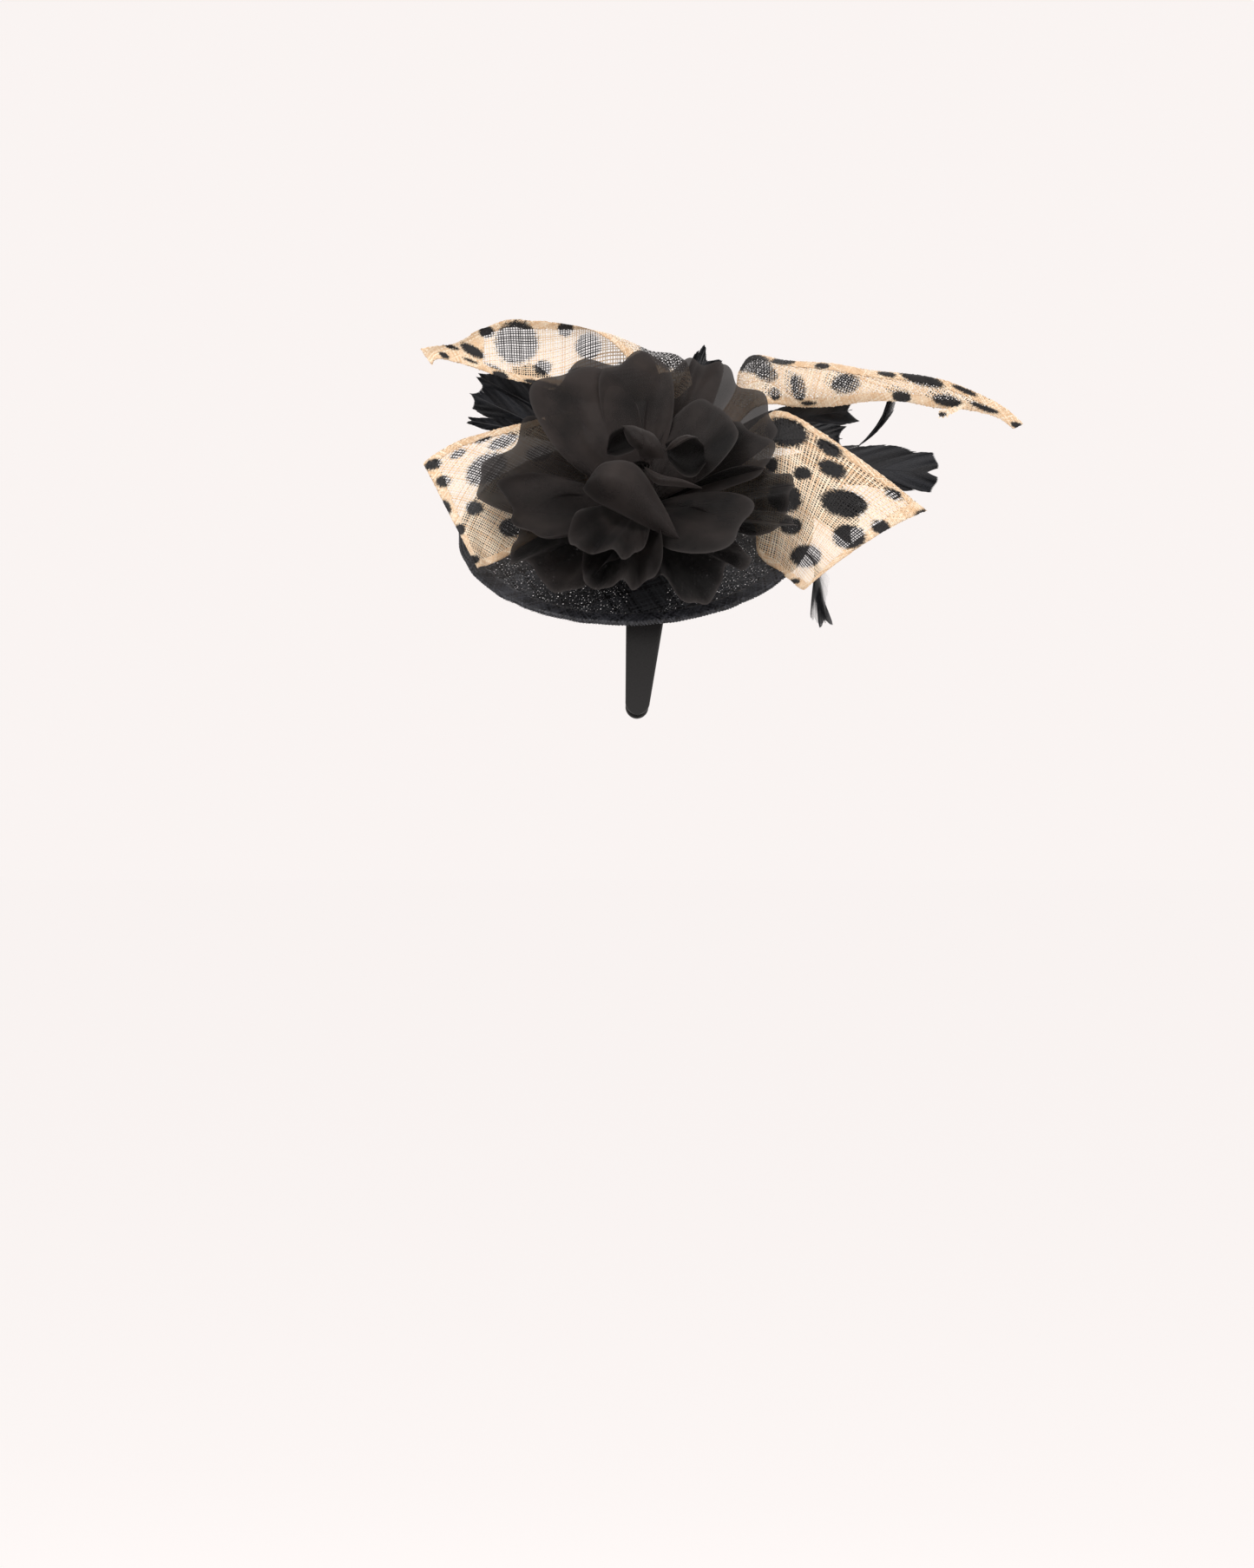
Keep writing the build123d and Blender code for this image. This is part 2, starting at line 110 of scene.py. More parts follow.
# ---- base: two layers of stiffened black sinamay in a shallow dome ----
# Sinamay is an open plain weave of flat banana fibres. The two layers are laid with their grain
# turned, stiffened over a block, and every fibre here is a ribbon of its own.
MM = 0.001
BASE_CENTRE = np.array((-10.0, -34.65, -6.4))
BASE_RIGHT = np.array((0.99889, 0.0, 0.047106))
BASE_UP = np.array((-0.027019, 0.819152, 0.57294))
BASE_OUT = np.array((-0.038587, -0.573576, 0.818243))
BASE_RADIUS = 99.5
DOME_HEIGHT = 5.0
BINDING_WIDTH = 9.0


def put_mesh(name, points, quads, values):
    """A mesh object from points in millimetres and rows of four corners; values are per point."""
    data = bpy.data.meshes.new(name)
    data.vertices.add(len(points))
    data.vertices.foreach_set("co", (np.asarray(points, float) * MM).ravel())
    data.loops.add(quads.size)
    data.loops.foreach_set("vertex_index", quads.ravel().astype(np.int32))
    data.polygons.add(len(quads))
    data.polygons.foreach_set("loop_start", np.arange(0, quads.size, 4, dtype=np.int32))
    data.polygons.foreach_set("use_smooth", np.full(len(quads), True))
    for key, column in values.items():
        layer = data.attributes.new(key, "FLOAT", "POINT")
        layer.data.foreach_set("value", np.asarray(column, np.float32))
    data.update(calc_edges=True)
    data.validate()
    piece = bpy.data.objects.new(name, data)
    bpy.context.collection.objects.link(piece)
    return piece


def fix_to_crown(piece, paint, node=None):
    """The material and body of a piece fixed to the crown, with the node it stands for hidden."""
    piece.data.materials.append(paint)
    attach(piece, "root")
    if node:
        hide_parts(node)


def join_parts(parts):
    """Puts lists of points, quads and values end to end."""
    points, quads, values, start = [], [], {}, 0
    for part_points, part_quads, part_values in parts:
        points.append(part_points)
        quads.append(part_quads + start)
        start += len(part_points)
        for key, column in part_values.items():
            values.setdefault(key, []).append(column)
    return (np.concatenate(points), np.concatenate(quads),
            {key: np.concatenate(columns) for key, columns in values.items()})


def lifted(place, s, t, height):
    """Points of a surface moved along its normal, which is the cross product of its slopes."""
    step = 0.05
    here = place(s, t)
    normal = np.cross(place(s + step, t) - here, place(s, t + step) - here)
    normal /= np.linalg.norm(normal, axis=-1, keepdims=True) + 1e-12
    return here + normal * height[..., None]


def woven(place, length, width, pitch, thread, turn=0.0, lift=0.22, seed=0, inside=None):
    """A plain weave over a surface.

    Threads run both ways over a flat rectangle, turned by an angle. Crossing i, j lies over when
    i + j is even and under when it is odd, and a thread is a ribbon from crossing to crossing.
    Spacing, width and tone wander from thread to thread as natural fibre does.
    """
    spacing_error, bow = 0.10 * pitch, 0.25 * pitch
    rng = np.random.default_rng(seed)
    count = int(np.hypot(length, width) / pitch) + 3
    steps = (np.arange(count) - (count - 1) / 2) * pitch
    along_way = np.array((np.cos(turn), np.sin(turn)))
    across_way = np.array((-np.sin(turn), np.cos(turn)))
    warp_at = steps + rng.normal(0, spacing_error, count)
    weft_at = steps + rng.normal(0, spacing_error, count)
    parts = []
    over = np.where(np.add.outer(np.arange(count), np.arange(count)) % 2 == 0, 1.0, -1.0)
    grid_a, grid_b = np.meshgrid(weft_at, warp_at, indexing="ij")
    grid_b = grid_b + bow * np.sin(grid_a / 9.0 + 0.7) * np.sin(grid_b / 11.0)
    centre = np.array((length, width)) / 2
    flat = centre + grid_a[..., None] * along_way + grid_b[..., None] * across_way
    s, t = flat[..., 0], flat[..., 1]
    kept = (s >= 0) & (s <= length) & (t >= 0) & (t <= width)
    if inside is not None:
        kept &= inside(s, t)
    for runs_along in (True, False):
        side_way = across_way if runs_along else along_way
        widths = thread * rng.uniform(0.7, 1.25, count)
        tones = rng.normal(0.5, 0.22, count)
        shape = (1, count) if runs_along else (count, 1)
        half = np.broadcast_to(widths.reshape(shape) / 2, (count, count))
        tone = np.broadcast_to(tones.reshape(shape), (count, count))
        height = over * lift if runs_along else -over * lift
        sides = [flat + side * half[..., None] * side_way for side in (-1.0, 1.0)]
        both = kept[:-1] & kept[1:] if runs_along else kept[:, :-1] & kept[:, 1:]
        first = np.argwhere(both)
        second = first + ((1, 0) if runs_along else (0, 1))
        index = np.full((count, count), -1)
        used = np.zeros((count, count), bool)
        used[first[:, 0], first[:, 1]] = True
        used[second[:, 0], second[:, 1]] = True
        index[used] = np.arange(used.sum())
        total = used.sum()
        points = np.concatenate([lifted(place, side[used][:, 0], side[used][:, 1], height[used])
                                 for side in sides])
        low = index[first[:, 0], first[:, 1]]
        high = index[second[:, 0], second[:, 1]]
        quads = np.stack([low, high, high + total, low + total], 1)
        if not runs_along:
            quads = quads[:, ::-1]
        parts.append((points, quads, {"tone": np.tile(tone[used], 2)}))
    return join_parts(parts)


def dome(distance):
    """Height of the base above its rim: it falls by the square of the distance from the middle."""
    return DOME_HEIGHT * (1 - distance ** 2 / BASE_RADIUS ** 2)


def off_base(right, up, height):
    """Points from distances to the right, up the slope and out of the plane of the rim."""
    return (BASE_CENTRE + right[..., None] * BASE_RIGHT + up[..., None] * BASE_UP
            + height[..., None] * BASE_OUT)


def on_dome(s, t):
    """The base's upper face; s and t run across its square from the corner."""
    right, up = s - BASE_RADIUS, t - BASE_RADIUS
    return off_base(right, up, dome(np.hypot(right, up)))


def in_rim(s, t):
    """Inside the fold of the bound edge."""
    return np.hypot(s - BASE_RADIUS, t - BASE_RADIUS) < BASE_RADIUS - 2.0


def fibre(name, light, dark, printed=None, roughness=0.5):
    """Dyed sinamay: tone from thread to thread, streaks along it, and ink where it is printed."""
    paint = bpy.data.materials.new(name)
    paint.use_nodes = True
    nodes, links = paint.node_tree.nodes, paint.node_tree.links
    shader = nodes["Principled BSDF"]
    shader.inputs["Roughness"].default_value = roughness
    shader.inputs["Specular IOR Level"].default_value = 0.35
    place = nodes.new("ShaderNodeTexCoord")
    streak = nodes.new("ShaderNodeTexNoise")
    streak.inputs["Scale"].default_value = 900.0
    streak.inputs["Detail"].default_value = 3.0
    links.new(place.outputs["Object"], streak.inputs["Vector"])
    tone = nodes.new("ShaderNodeAttribute")
    tone.attribute_name = "tone"
    blend = nodes.new("ShaderNodeMath")
    blend.operation = "MULTIPLY_ADD"
    blend.inputs[1].default_value = 0.5
    links.new(streak.outputs["Fac"], blend.inputs[0])
    links.new(tone.outputs["Fac"], blend.inputs[2])
    ramp = nodes.new("ShaderNodeValToRGB")
    low, high = ramp.color_ramp.elements
    low.position, low.color = 0.35, (*dark, 1)
    high.position, high.color = 1.1, (*light, 1)
    links.new(blend.outputs["Value"], ramp.inputs["Fac"])
    colour = ramp.outputs["Color"]
    if printed:
        ink = nodes.new("ShaderNodeAttribute")
        ink.attribute_name = "ink"
        mix = nodes.new("ShaderNodeMix")
        mix.data_type = "RGBA"
        links.new(ink.outputs["Fac"], mix.inputs["Factor"])
        links.new(colour, mix.inputs["A"])
        mix.inputs["B"].default_value = (*printed, 1)
        colour = mix.outputs["Result"]
    links.new(colour, shader.inputs["Base Color"])
    bump = nodes.new("ShaderNodeBump")
    bump.inputs["Strength"].default_value = 0.35
    bump.inputs["Distance"].default_value = 0.0002
    links.new(streak.outputs["Fac"], bump.inputs["Height"])
    links.new(bump.outputs["Normal"], shader.inputs["Normal"])
    return paint


def lower_dome(s, t):
    """The base's lower face, a layer's thickness under the upper one."""
    return on_dome(s, t) - 0.9 * BASE_OUT


# the bluish grey light end is real thread-to-thread tone plus painted glints on the lighter threads
black_fibre = fibre("black_sinamay", (0.055, 0.058, 0.065), (0.003, 0.003, 0.004), roughness=0.4)
BASE_PITCH = 1.5
side_length = 2 * BASE_RADIUS
for name, face, thread, turn, seed in (("base_sinamay_upper", on_dome, 0.92, 0.35, 11),
                                       ("base_sinamay_under", lower_dome, 1.12, 1.02, 12)):
    layer = put_mesh(name, *woven(face, side_length, side_length, BASE_PITCH, thread, turn=turn,
                                  seed=seed, inside=in_rim))
    fix_to_crown(layer, black_fibre, "base_saucer" if face is on_dome else None)

# ---- bound edge: a bias strip of the same sinamay folded over the wired rim ----
# The strip is cut at 45 degrees so that it stretches round the curve. Its fold lies over the wire,
# and its turned-in edges are sewn down above and below the base.
BINDING_HALF = 1.3          # half of its thickness over the wire


def round_rim(s, q, inset=0.0):
    """Around the rim: s along it, and q from the inner edge above, over the fold, to the one below.

    The fold is a half round. Beyond it the strip follows the dome and thins at its turned-in edge,
    and two sines round the rim let it wander up, down, in and out as hand sewing does.
    """
    turn = s / BASE_RADIUS
    over = BINDING_WIDTH - 1.5
    way = np.clip(np.abs(q) - BINDING_HALF, 0, over)
    roll = np.clip(q / BINDING_HALF, -1, 1) * np.pi / 2
    half = BINDING_HALF - inset
    distance = BASE_RADIUS - BINDING_HALF - way + half * np.cos(roll)
    height = half * np.sin(roll) * np.where(way > over - 1.0, 1 - 0.45 * (way - over + 1.0), 1.0)
    height = height + dome(distance) - 0.5
    height = height + 0.12 * np.sin(turn * 37)
    distance = distance + 0.25 * np.sin(turn * 23 + 1.3)
    return off_base(distance * np.cos(turn), distance * np.sin(turn), height)


def rim_strip(s, t):
    """The folded strip laid flat, from one edge to the other."""
    return round_rim(s, t - BINDING_WIDTH)


def sheet_grid(place, length, width, columns, rows, tone=0.5):
    """A plain surface on a grid, as points, quads and one tone."""
    s, t = np.meshgrid(np.linspace(0, length, columns), np.linspace(0, width, rows), indexing="ij")
    points = place(s, t).reshape(-1, 3)
    corner = np.arange(columns * rows).reshape(columns, rows)
    quads = np.stack([corner[:-1, :-1], corner[1:, :-1], corner[1:, 1:], corner[:-1, 1:]], -1)
    return points, quads.reshape(-1, 4), {"tone": np.full(len(points), tone)}


rim_length = 2 * np.pi * BASE_RADIUS
strip_outside = woven(rim_strip, rim_length, 2 * BINDING_WIDTH, 1.25, 0.92, turn=np.pi / 4, seed=21)
strip_inside = sheet_grid(lambda s, t: round_rim(s, t - BINDING_WIDTH, inset=0.35),
                          rim_length, 2 * BINDING_WIDTH, 361, 25, tone=0.2)
binding = put_mesh("base_edge_binding_weave", *join_parts([strip_outside, strip_inside]))
# as on the base, the light end is real random thread tone plus painted glints
bias_fibre = fibre("black_bias", (0.040, 0.042, 0.050), (0.002, 0.002, 0.003), roughness=0.4)
fix_to_crown(binding, bias_fibre, "base_edge_binding")

# ---- leaves: four hemmed tails of cream sinamay printed with black spots ----
# Each leaf is one cut of cloth between an upper and a lower edge, gathered at its foot and sewn to
# the base. Its long edges are turned in, which gives a denser, deeper coloured border.
HEM = 5.0
LEAF_PITCH = 1.4
HEM_PITCH = 1.0             # the two thicknesses of a hem show more threads
HEM_THREAD = 0.8
HEM_TURN = 0.5
HEM_LIFT = 0.12
HEM_HALF = 0.5              # half of a hem's thickness
PLEATS = 5


def through(points, u):
    """A smooth curve through points: each span is the Catmull-Rom cubic of its four neighbours."""
    points = np.asarray(points, float)
    ends = np.concatenate([[2 * points[0] - points[1]], points, [2 * points[-1] - points[-2]]])
    spot = np.clip(u, 0, 1) * (len(points) - 1)
    span = np.minimum(spot.astype(int), len(points) - 2)
    f = (spot - span)[..., None]
    a, b, c, d = (ends[span + k] for k in range(4))
    return 0.5 * (2 * b + (c - a) * f + (2 * a - 5 * b + 4 * c - d) * f ** 2
                  + (3 * b - a - 3 * c + d) * f ** 3)


class Leaf:
    """The cloth between two edge curves, with a bulge across it and pleats where it is gathered."""

    def __init__(self, upper, lower, bulge):
        self.upper, self.lower, self.bulge = upper, lower, bulge
        self.u = np.linspace(0, 1, 400)
        middle = self.at(self.u, np.full(400, 0.5))
        walked = np.linalg.norm(np.diff(middle, axis=0), axis=1)
        self.walked = np.concatenate([[0], np.cumsum(walked)])
        self.length = self.walked[-1]
        local = np.linalg.norm(through(upper, self.u) - through(lower, self.u), axis=1)
        # the flat cut is wider than the leaf where it is pleated, towards the foot
        self.cut = np.maximum(local, 9.0) * (1 + 0.5 * np.exp(-9 * self.u))
        self.width = self.cut.max()
        self.area = float(np.sum(0.5 * (self.cut[1:] + self.cut[:-1]) * walked))

    def at(self, u, v):
        """The point at shares u along and v across: upper(1 - v) + lower v + bulge 4v(1 - v)."""
        edge = through(self.upper, u)
        other = through(self.lower, u)
        v = v[..., None]
        return edge * (1 - v) + other * v + 4 * v * (1 - v) * through(self.bulge, u)

    def share(self, s, t):
        """The shares for a distance along the middle and a distance across the flat cut."""
        u = np.interp(s, self.walked, self.u)
        return u, 0.5 + (t - self.width / 2) / np.interp(u, self.u, self.cut)

    def inside(self, s, t):
        """Whether a place on the flat rectangle is within the cut."""
        v = self.share(s, t)[1]
        return (v >= 0) & (v <= 1)

    def draped(self, u, v):
        """The leaf with its pleats, which fade from the foot, and soft waves of one millimetre."""
        pleat = 2.6 * np.exp(-9 * u) * np.cos(2 * np.pi * PLEATS * v)
        wave = 0.6 * np.sin(9 * u + 5 * v) * np.sin(23 * u - 3 * v)
        return self.at(u, v) + (pleat + wave)[..., None] * np.array((0.1, -0.95, 0.3))

    def cloth(self, s, t):
        """The cloth at a distance along the middle and a distance across the flat cut."""
        return self.draped(*self.share(s, t))

    def edge_fold(self, lower_edge):
        """The hem along a long edge: q runs from raw edge in front over the fold to the back."""
        def place(s, q):
            u = np.interp(s, self.walked, self.u)
            inward = np.abs(q - HEM) / np.maximum(np.interp(u, self.u, self.cut), 2 * HEM)
            v = 1 - inward if lower_edge else inward
            away = HEM_HALF * np.clip((q - HEM) / 0.8, -1, 1)
            return self.draped(u, v) + away[..., None] * np.array((0.0, -1.0, 0.15))
        return place

    def end_fold(self):
        """The hem across the end of the leaf: q runs as it does along the edges."""
        def place(t, q):
            u = np.interp(self.length - np.abs(q - HEM), self.walked, self.u)
            away = HEM_HALF * np.clip((q - HEM) / 0.8, -1, 1)
            return (self.draped(u, t / self.cut[-1])
                    + away[..., None] * np.array((0.0, -1.0, 0.15)))
        return place


def stamp(points, spots, seed):
    """Ink on points, from spots printed straight through from the near side.

    A spot is its middle in x and z, its two half sizes and its turn in degrees. Ink is full inside
    the ellipse and fades over a tenth of its size, and the edge is rough from thread to thread.
    """
    rng = np.random.default_rng(seed)
    ink = np.zeros(len(points))
    rough = 1 + 0.06 * rng.normal(size=len(points))
    for x, z, half_x, half_z, turn in spots:
        right, up = points[:, 0] - x, points[:, 2] - z
        turned = np.radians(turn)
        a = (right * np.cos(turned) + up * np.sin(turned)) / half_x
        b = (up * np.cos(turned) - right * np.sin(turned)) / half_z
        ink = np.maximum(ink, np.clip((1.04 - np.hypot(a, b) * rough) * 12, 0, 1))
    return ink


def loose_hem(s, t):
    """The loose scrap: s runs back under the leaf's edge and down a little, and t hangs down."""
    fall = 0.25 * s - 0.5 * np.sin(s / 2.2) + 0.9 * t
    return np.stack([178.0 - s, -3.0 - 1.5 * np.sin(s / 5.0), 66.5 - fall], -1)


def ragged(s, t):
    """Inside the scrap, whose torn lower edge slopes and waves by a sine."""
    return t < 3.0 + 0.2 * s + 0.6 * np.sin(2.5 * s)


def on_base(right, up, height):
    """A point over the base, off its upper face."""
    return tuple(off_base(np.array(right), np.array(up), dome(np.hypot(right, up)) + height))


leaf_fibre = fibre("cream_sinamay", (0.90, 0.78, 0.61), (0.72, 0.49, 0.29),
                   printed=(0.010, 0.0095, 0.010), roughness=0.55)

# edges and bulge from the foot to the tip, turn of the grain, length of the folded tip, width of a
# thread, size of a loose scrap of hem, and printed spots
leaves = {
    "leaf_upper_left": {
        "upper": [on_base(-9, 10, 2), (6, -18, 68), (-11, -20, 86), (-23, -17, 99), (-35, -11, 107),
                  (-48, -4, 111), (-67, 2, 114), (-83, 4, 115), (-99, 5, 109), (-114, 2, 101),
                  (-126, 0, 99), (-133, 0, 98)],
        "lower": [on_base(-9, 22, 2), (22, 8, 65), (-1, 12, 69), (-26, 8, 67), (-40, -2, 68),
                  (-53, -8, 72), (-70, -8, 77), (-85, -8, 80), (-100, -5, 86), (-113, -3, 90),
                  (-123, 0, 92), (-126, 0, 88)],
        "bulge": [(0, 0, 0), (4, 4, 18), (4, 4, 18), (2, 4, 18), (0, 6, 13), (0, 8, 5), (0, 9, 0),
                  (0, 8, 0), (0, 5, 0), (0, 3, 0), (0, 1, 0), (0, 0, 0)],
        "turn": 0.12, "tip": 34.0, "thread": 0.50,
        "spots": [(-78, 102, 12.5, 12.3, 0), (-63, 87, 5, 4.8, 0), (-37, 99, 7.4, 7.4, 0),
                  (-50, 109, 4.5, 4, 0), (-43, 80, 7.5, 7, 0), (-17, 85, 6, 6, 0),
                  (-95, 108, 4.5, 3.4, 0), (-103, 97, 8, 2.9, -30), (-115, 99, 4.5, 1.2, -15),
                  (-104, 91, 5, 0.9, -22), (-91, 87.5, 5.5, 0.9, -25), (-81, 110, 5, 1.6, 12),
                  (-87, 82, 5, 2.3, -22), (-63, 77, 11, 1.9, -12), (6, 93, 15, 7, -25),
                  (-119, 94, 3.5, 1.6, -30)]},
    "leaf_upper_right": {
        "upper": [on_base(9, 22, 2), (42, 10, 66), (49, 10, 86), (57, 8, 95), (76, 6, 92),
                  (100, 3, 90), (122, 0, 86), (144, 0, 84), (166, 0, 80), (184, 0, 73),
                  (200, 0, 64), (211, 0, 55)],
        "lower": [on_base(9, 10, 2), (44, -12, 50), (57, -14, 62), (69, -10, 65), (81, -6, 64),
                  (100, -5, 64), (121, -4, 67), (142, -2, 67), (162, 0, 64), (177, 0, 63),
                  (195, 0, 59), (205, 0, 52)],
        "bulge": [(0, 0, 0), (0, 0, 4), (0, -4, 4), (0, -7, 2), (0, -8, 1), (0, -8, 0), (0, -6, 0),
                  (0, -4, 0), (0, -3, 0), (0, -2, 0), (0, -1, 0), (0, 0, 0)],
        "turn": 0.3, "tip": 22.0, "thread": 0.56, "lined": True, "loose": (16.0, 7.0),
        "spots": [(56, 90, 12, 6.5, -15), (64, 83, 7, 5, -20), (82, 75, 4, 8, 12),
                  (96, 88, 4.5, 2, 0), (109, 77, 8.5, 5.8, 10), (69, 71, 3.5, 3.5, 0),
                  (133, 83, 5.5, 1.8, -8),
                  (153, 80, 13, 3.8, -16), (167, 68, 8.5, 3.3, -10), (141, 70, 5.5, 3.4, -10),
                  (177, 74, 8, 1.6, -24), (188, 64, 9, 1.6, -20), (207, 54, 4, 1.8, -20),
                  (164, 60, 2.5, 1.5, 0), (74, 91, 7, 2.4, 0), (88, 66, 4.5, 1.3, 0)]},
    "leaf_lower_right": {
        "upper": [on_base(24, 8, 2), (52, -30, 47), (62, -34, 56), (71, -36, 59), (88, -38, 51),
                  (109, -42, 36), (130, -46, 20), (152, -51, 2)],
        "lower": [on_base(24, -6, 2), (52, -58, -4), (57, -72, -23), (66, -78, -32),
                  (72, -83, -37), (76, -86, -40), (79, -88, -43), (82, -88, -44)],
        "bulge": [(0, 0, 0), (0, -4, 0), (2, -8, 0), (2, -9, 0), (1, -8, 0), (0, -7, 1), (0, -5, 3),
                  (0, -3, 4)],
        "turn": 0.08, "tip": 0.0, "thread": 0.66,
        "spots": [(74, 46, 12.4, 8.6, -14), (98, 37, 8.4, 3.9, -34), (99, 25, 8.4, 4.8, -22),
                  (82, 22, 5.2, 3.8, 0), (65, 27, 3.6, 4.8, 0), (72, 8, 9.6, 8.6, -20),
                  (105, 5, 13.4, 8, -10), (75, -8, 6.2, 5, 0), (107, -14, 9.4, 6.9, 0),
                  (83, -25, 8.6, 6.4, 5), (125, -8, 5.6, 4, -10), (133, 11, 5.2, 3, -25),
                  (148, 1, 4, 1.2, 30), (77, -39, 2.6, 1.5, 0)]},
    "leaf_lower_left": {
        "upper": [on_base(-20, 8, 2), (-42, -27, 55), (-55, -30, 57), (-75, -34, 52),
                  (-94, -38, 47),
                  (-109, -41, 42), (-121, -43, 35), (-129, -45, 29)],
        "lower": [on_base(-20, -6, 2), (-41, -52, 6), (-55, -62, -7), (-74, -73, -20),
                  (-84, -79, -27), (-91, -82, -30), (-95, -84, -31), (-97, -85, -32)],
        "bulge": [(0, 0, 0), (0, -3, 0), (0, -6, 0), (0, -7, 0), (0, -7, 0), (0, -6, 0), (0, -4, 0),
                  (0, -3, 0)],
        "turn": 0.80, "tip": 0.0, "thread": 0.60,
        "spots": [(-123, 28, 5, 3.2, 20), (-109, 34, 5, 2.3, 25), (-117, 18, 4.2, 3.6, 0),
                  (-115, 3, 2.6, 4.8, 25), (-99, 2, 5.2, 4.2, 0), (-93, 25, 12.5, 8, 35),
                  (-95, 42, 5, 1.3, 22), (-84, 41, 9, 3.6, 24), (-107, -10, 3, 3.5, 0),
                  (-99, -27, 3.4, 2.4, 0), (-74, 15, 8, 6, 0), (-79, -9, 6.4, 5.4, 0),
                  (-64, 34, 7, 4.4, 0)]}}

for number, (name, cut) in enumerate(leaves.items()):
    leaf = Leaf(cut["upper"], cut["lower"], cut["bulge"])
    seed = 100 + 10 * number
    parts = [woven(leaf.cloth, leaf.length, leaf.width, LEAF_PITCH, cut["thread"], cut["turn"],
                   seed=seed, inside=leaf.inside)]
    for lower_edge in (False, True):
        hem = woven(leaf.edge_fold(lower_edge), leaf.length, 2 * HEM, HEM_PITCH, 0.7, HEM_TURN,
                    HEM_LIFT, seed + 1 + lower_edge)
        hem[2]["tone"] -= 0.22
        parts.append(hem)
    area = leaf.area + 4 * HEM * leaf.length
    if cut["tip"]:
        # the tip is folded over twice, one thickness in front of the cloth and one behind
        start = leaf.length - cut["tip"]
        for layer, gap in enumerate((0.7, -0.7)):
            tip = woven(lambda s, t: leaf.cloth(s + start, t) + gap * np.array((0.0, -1.0, 0.1)),
                        cut["tip"], leaf.width, HEM_PITCH, HEM_THREAD, 0.4, HEM_LIFT,
                        seed + 3 + layer, inside=lambda s, t: leaf.inside(s + start, t))
            tip[2]["tone"] -= 0.08
            parts.append(tip)
        area += 2 * cut["tip"] * np.interp(start, leaf.walked, leaf.cut)
    else:
        end = woven(leaf.end_fold(), leaf.cut[-1], 2 * HEM, HEM_PITCH, HEM_THREAD, HEM_TURN,
                    HEM_LIFT, seed + 5)
        end[2]["tone"] -= 0.12
        parts.append(end)
        area += 4 * HEM * leaf.cut[-1]
    if cut.get("loose"):
        # a scrap of the hem has come unstitched and hangs under the lower edge
        parts.append(woven(loose_hem, *cut["loose"], HEM_PITCH, HEM_THREAD, HEM_TURN,
                           seed=seed + 9, inside=ragged))
        area += cut["loose"][0] * cut["loose"][1]
    points, quads, values = join_parts(parts)
    values["ink"] = stamp(points, cut["spots"], seed + 6)
    piece = put_mesh(name + "_cloth", points, quads, values)
    fix_to_crown(piece, leaf_fibre, name)
    if cut.get("lined"):
        # a second thickness hangs behind the first, with its print a little lower and further back
        behind = np.array((0.0, 2.2, 0.0))
        points, quads, values = woven(lambda s, t: leaf.cloth(s, t) + behind, leaf.length,
                                      leaf.width, LEAF_PITCH, cut["thread"], cut["turn"] + 0.5,
                                      seed=seed + 7, inside=leaf.inside)
        values["ink"] = stamp(points + np.array((4.0, 0.0, -3.0)), cut["spots"], seed + 8)
        lining = put_mesh(name + "_lining", points, quads, values)
        fix_to_crown(lining, leaf_fibre)

# ---- bloom petals: black silk organza, cut round, gathered to a claw and wired to the stem ----
# Organza is fine and stiff. The petals are ironed over a ball to cup them, and their cut edges
# are stretched, so the big ones ruffle and some rims roll over.
BLOOM_FOOT = np.array((-7.19, -51.40, -2.21))
BLOOM_AXIS = np.array((0.0, -0.829038, 0.559193))
BLOOM_UP = np.array((0.0, 0.559193, 0.829038))
BLOOM_RIGHT = np.array((1.0, 0.0, 0.0))


def grid_mesh(name, points, values):
    """A mesh from a grid of points, rows by columns, with its per-point values."""
    rows, columns = points.shape[:2]
    corner = np.arange(rows * columns).reshape(rows, columns)
    quads = np.stack([corner[:-1, :-1], corner[:-1, 1:], corner[1:, 1:], corner[1:, :-1]], -1)
    flat_values = {key: np.broadcast_to(value, (rows, columns)).ravel()
                   for key, value in values.items()}
    return put_mesh(name, points.reshape(-1, 3), quads.reshape(-1, 4), flat_values)


def finish_organza(piece, node):
    """The material and body of a piece fixed to the crown, with the node it stands for hidden."""
    fix_to_crown(piece, organza, node)


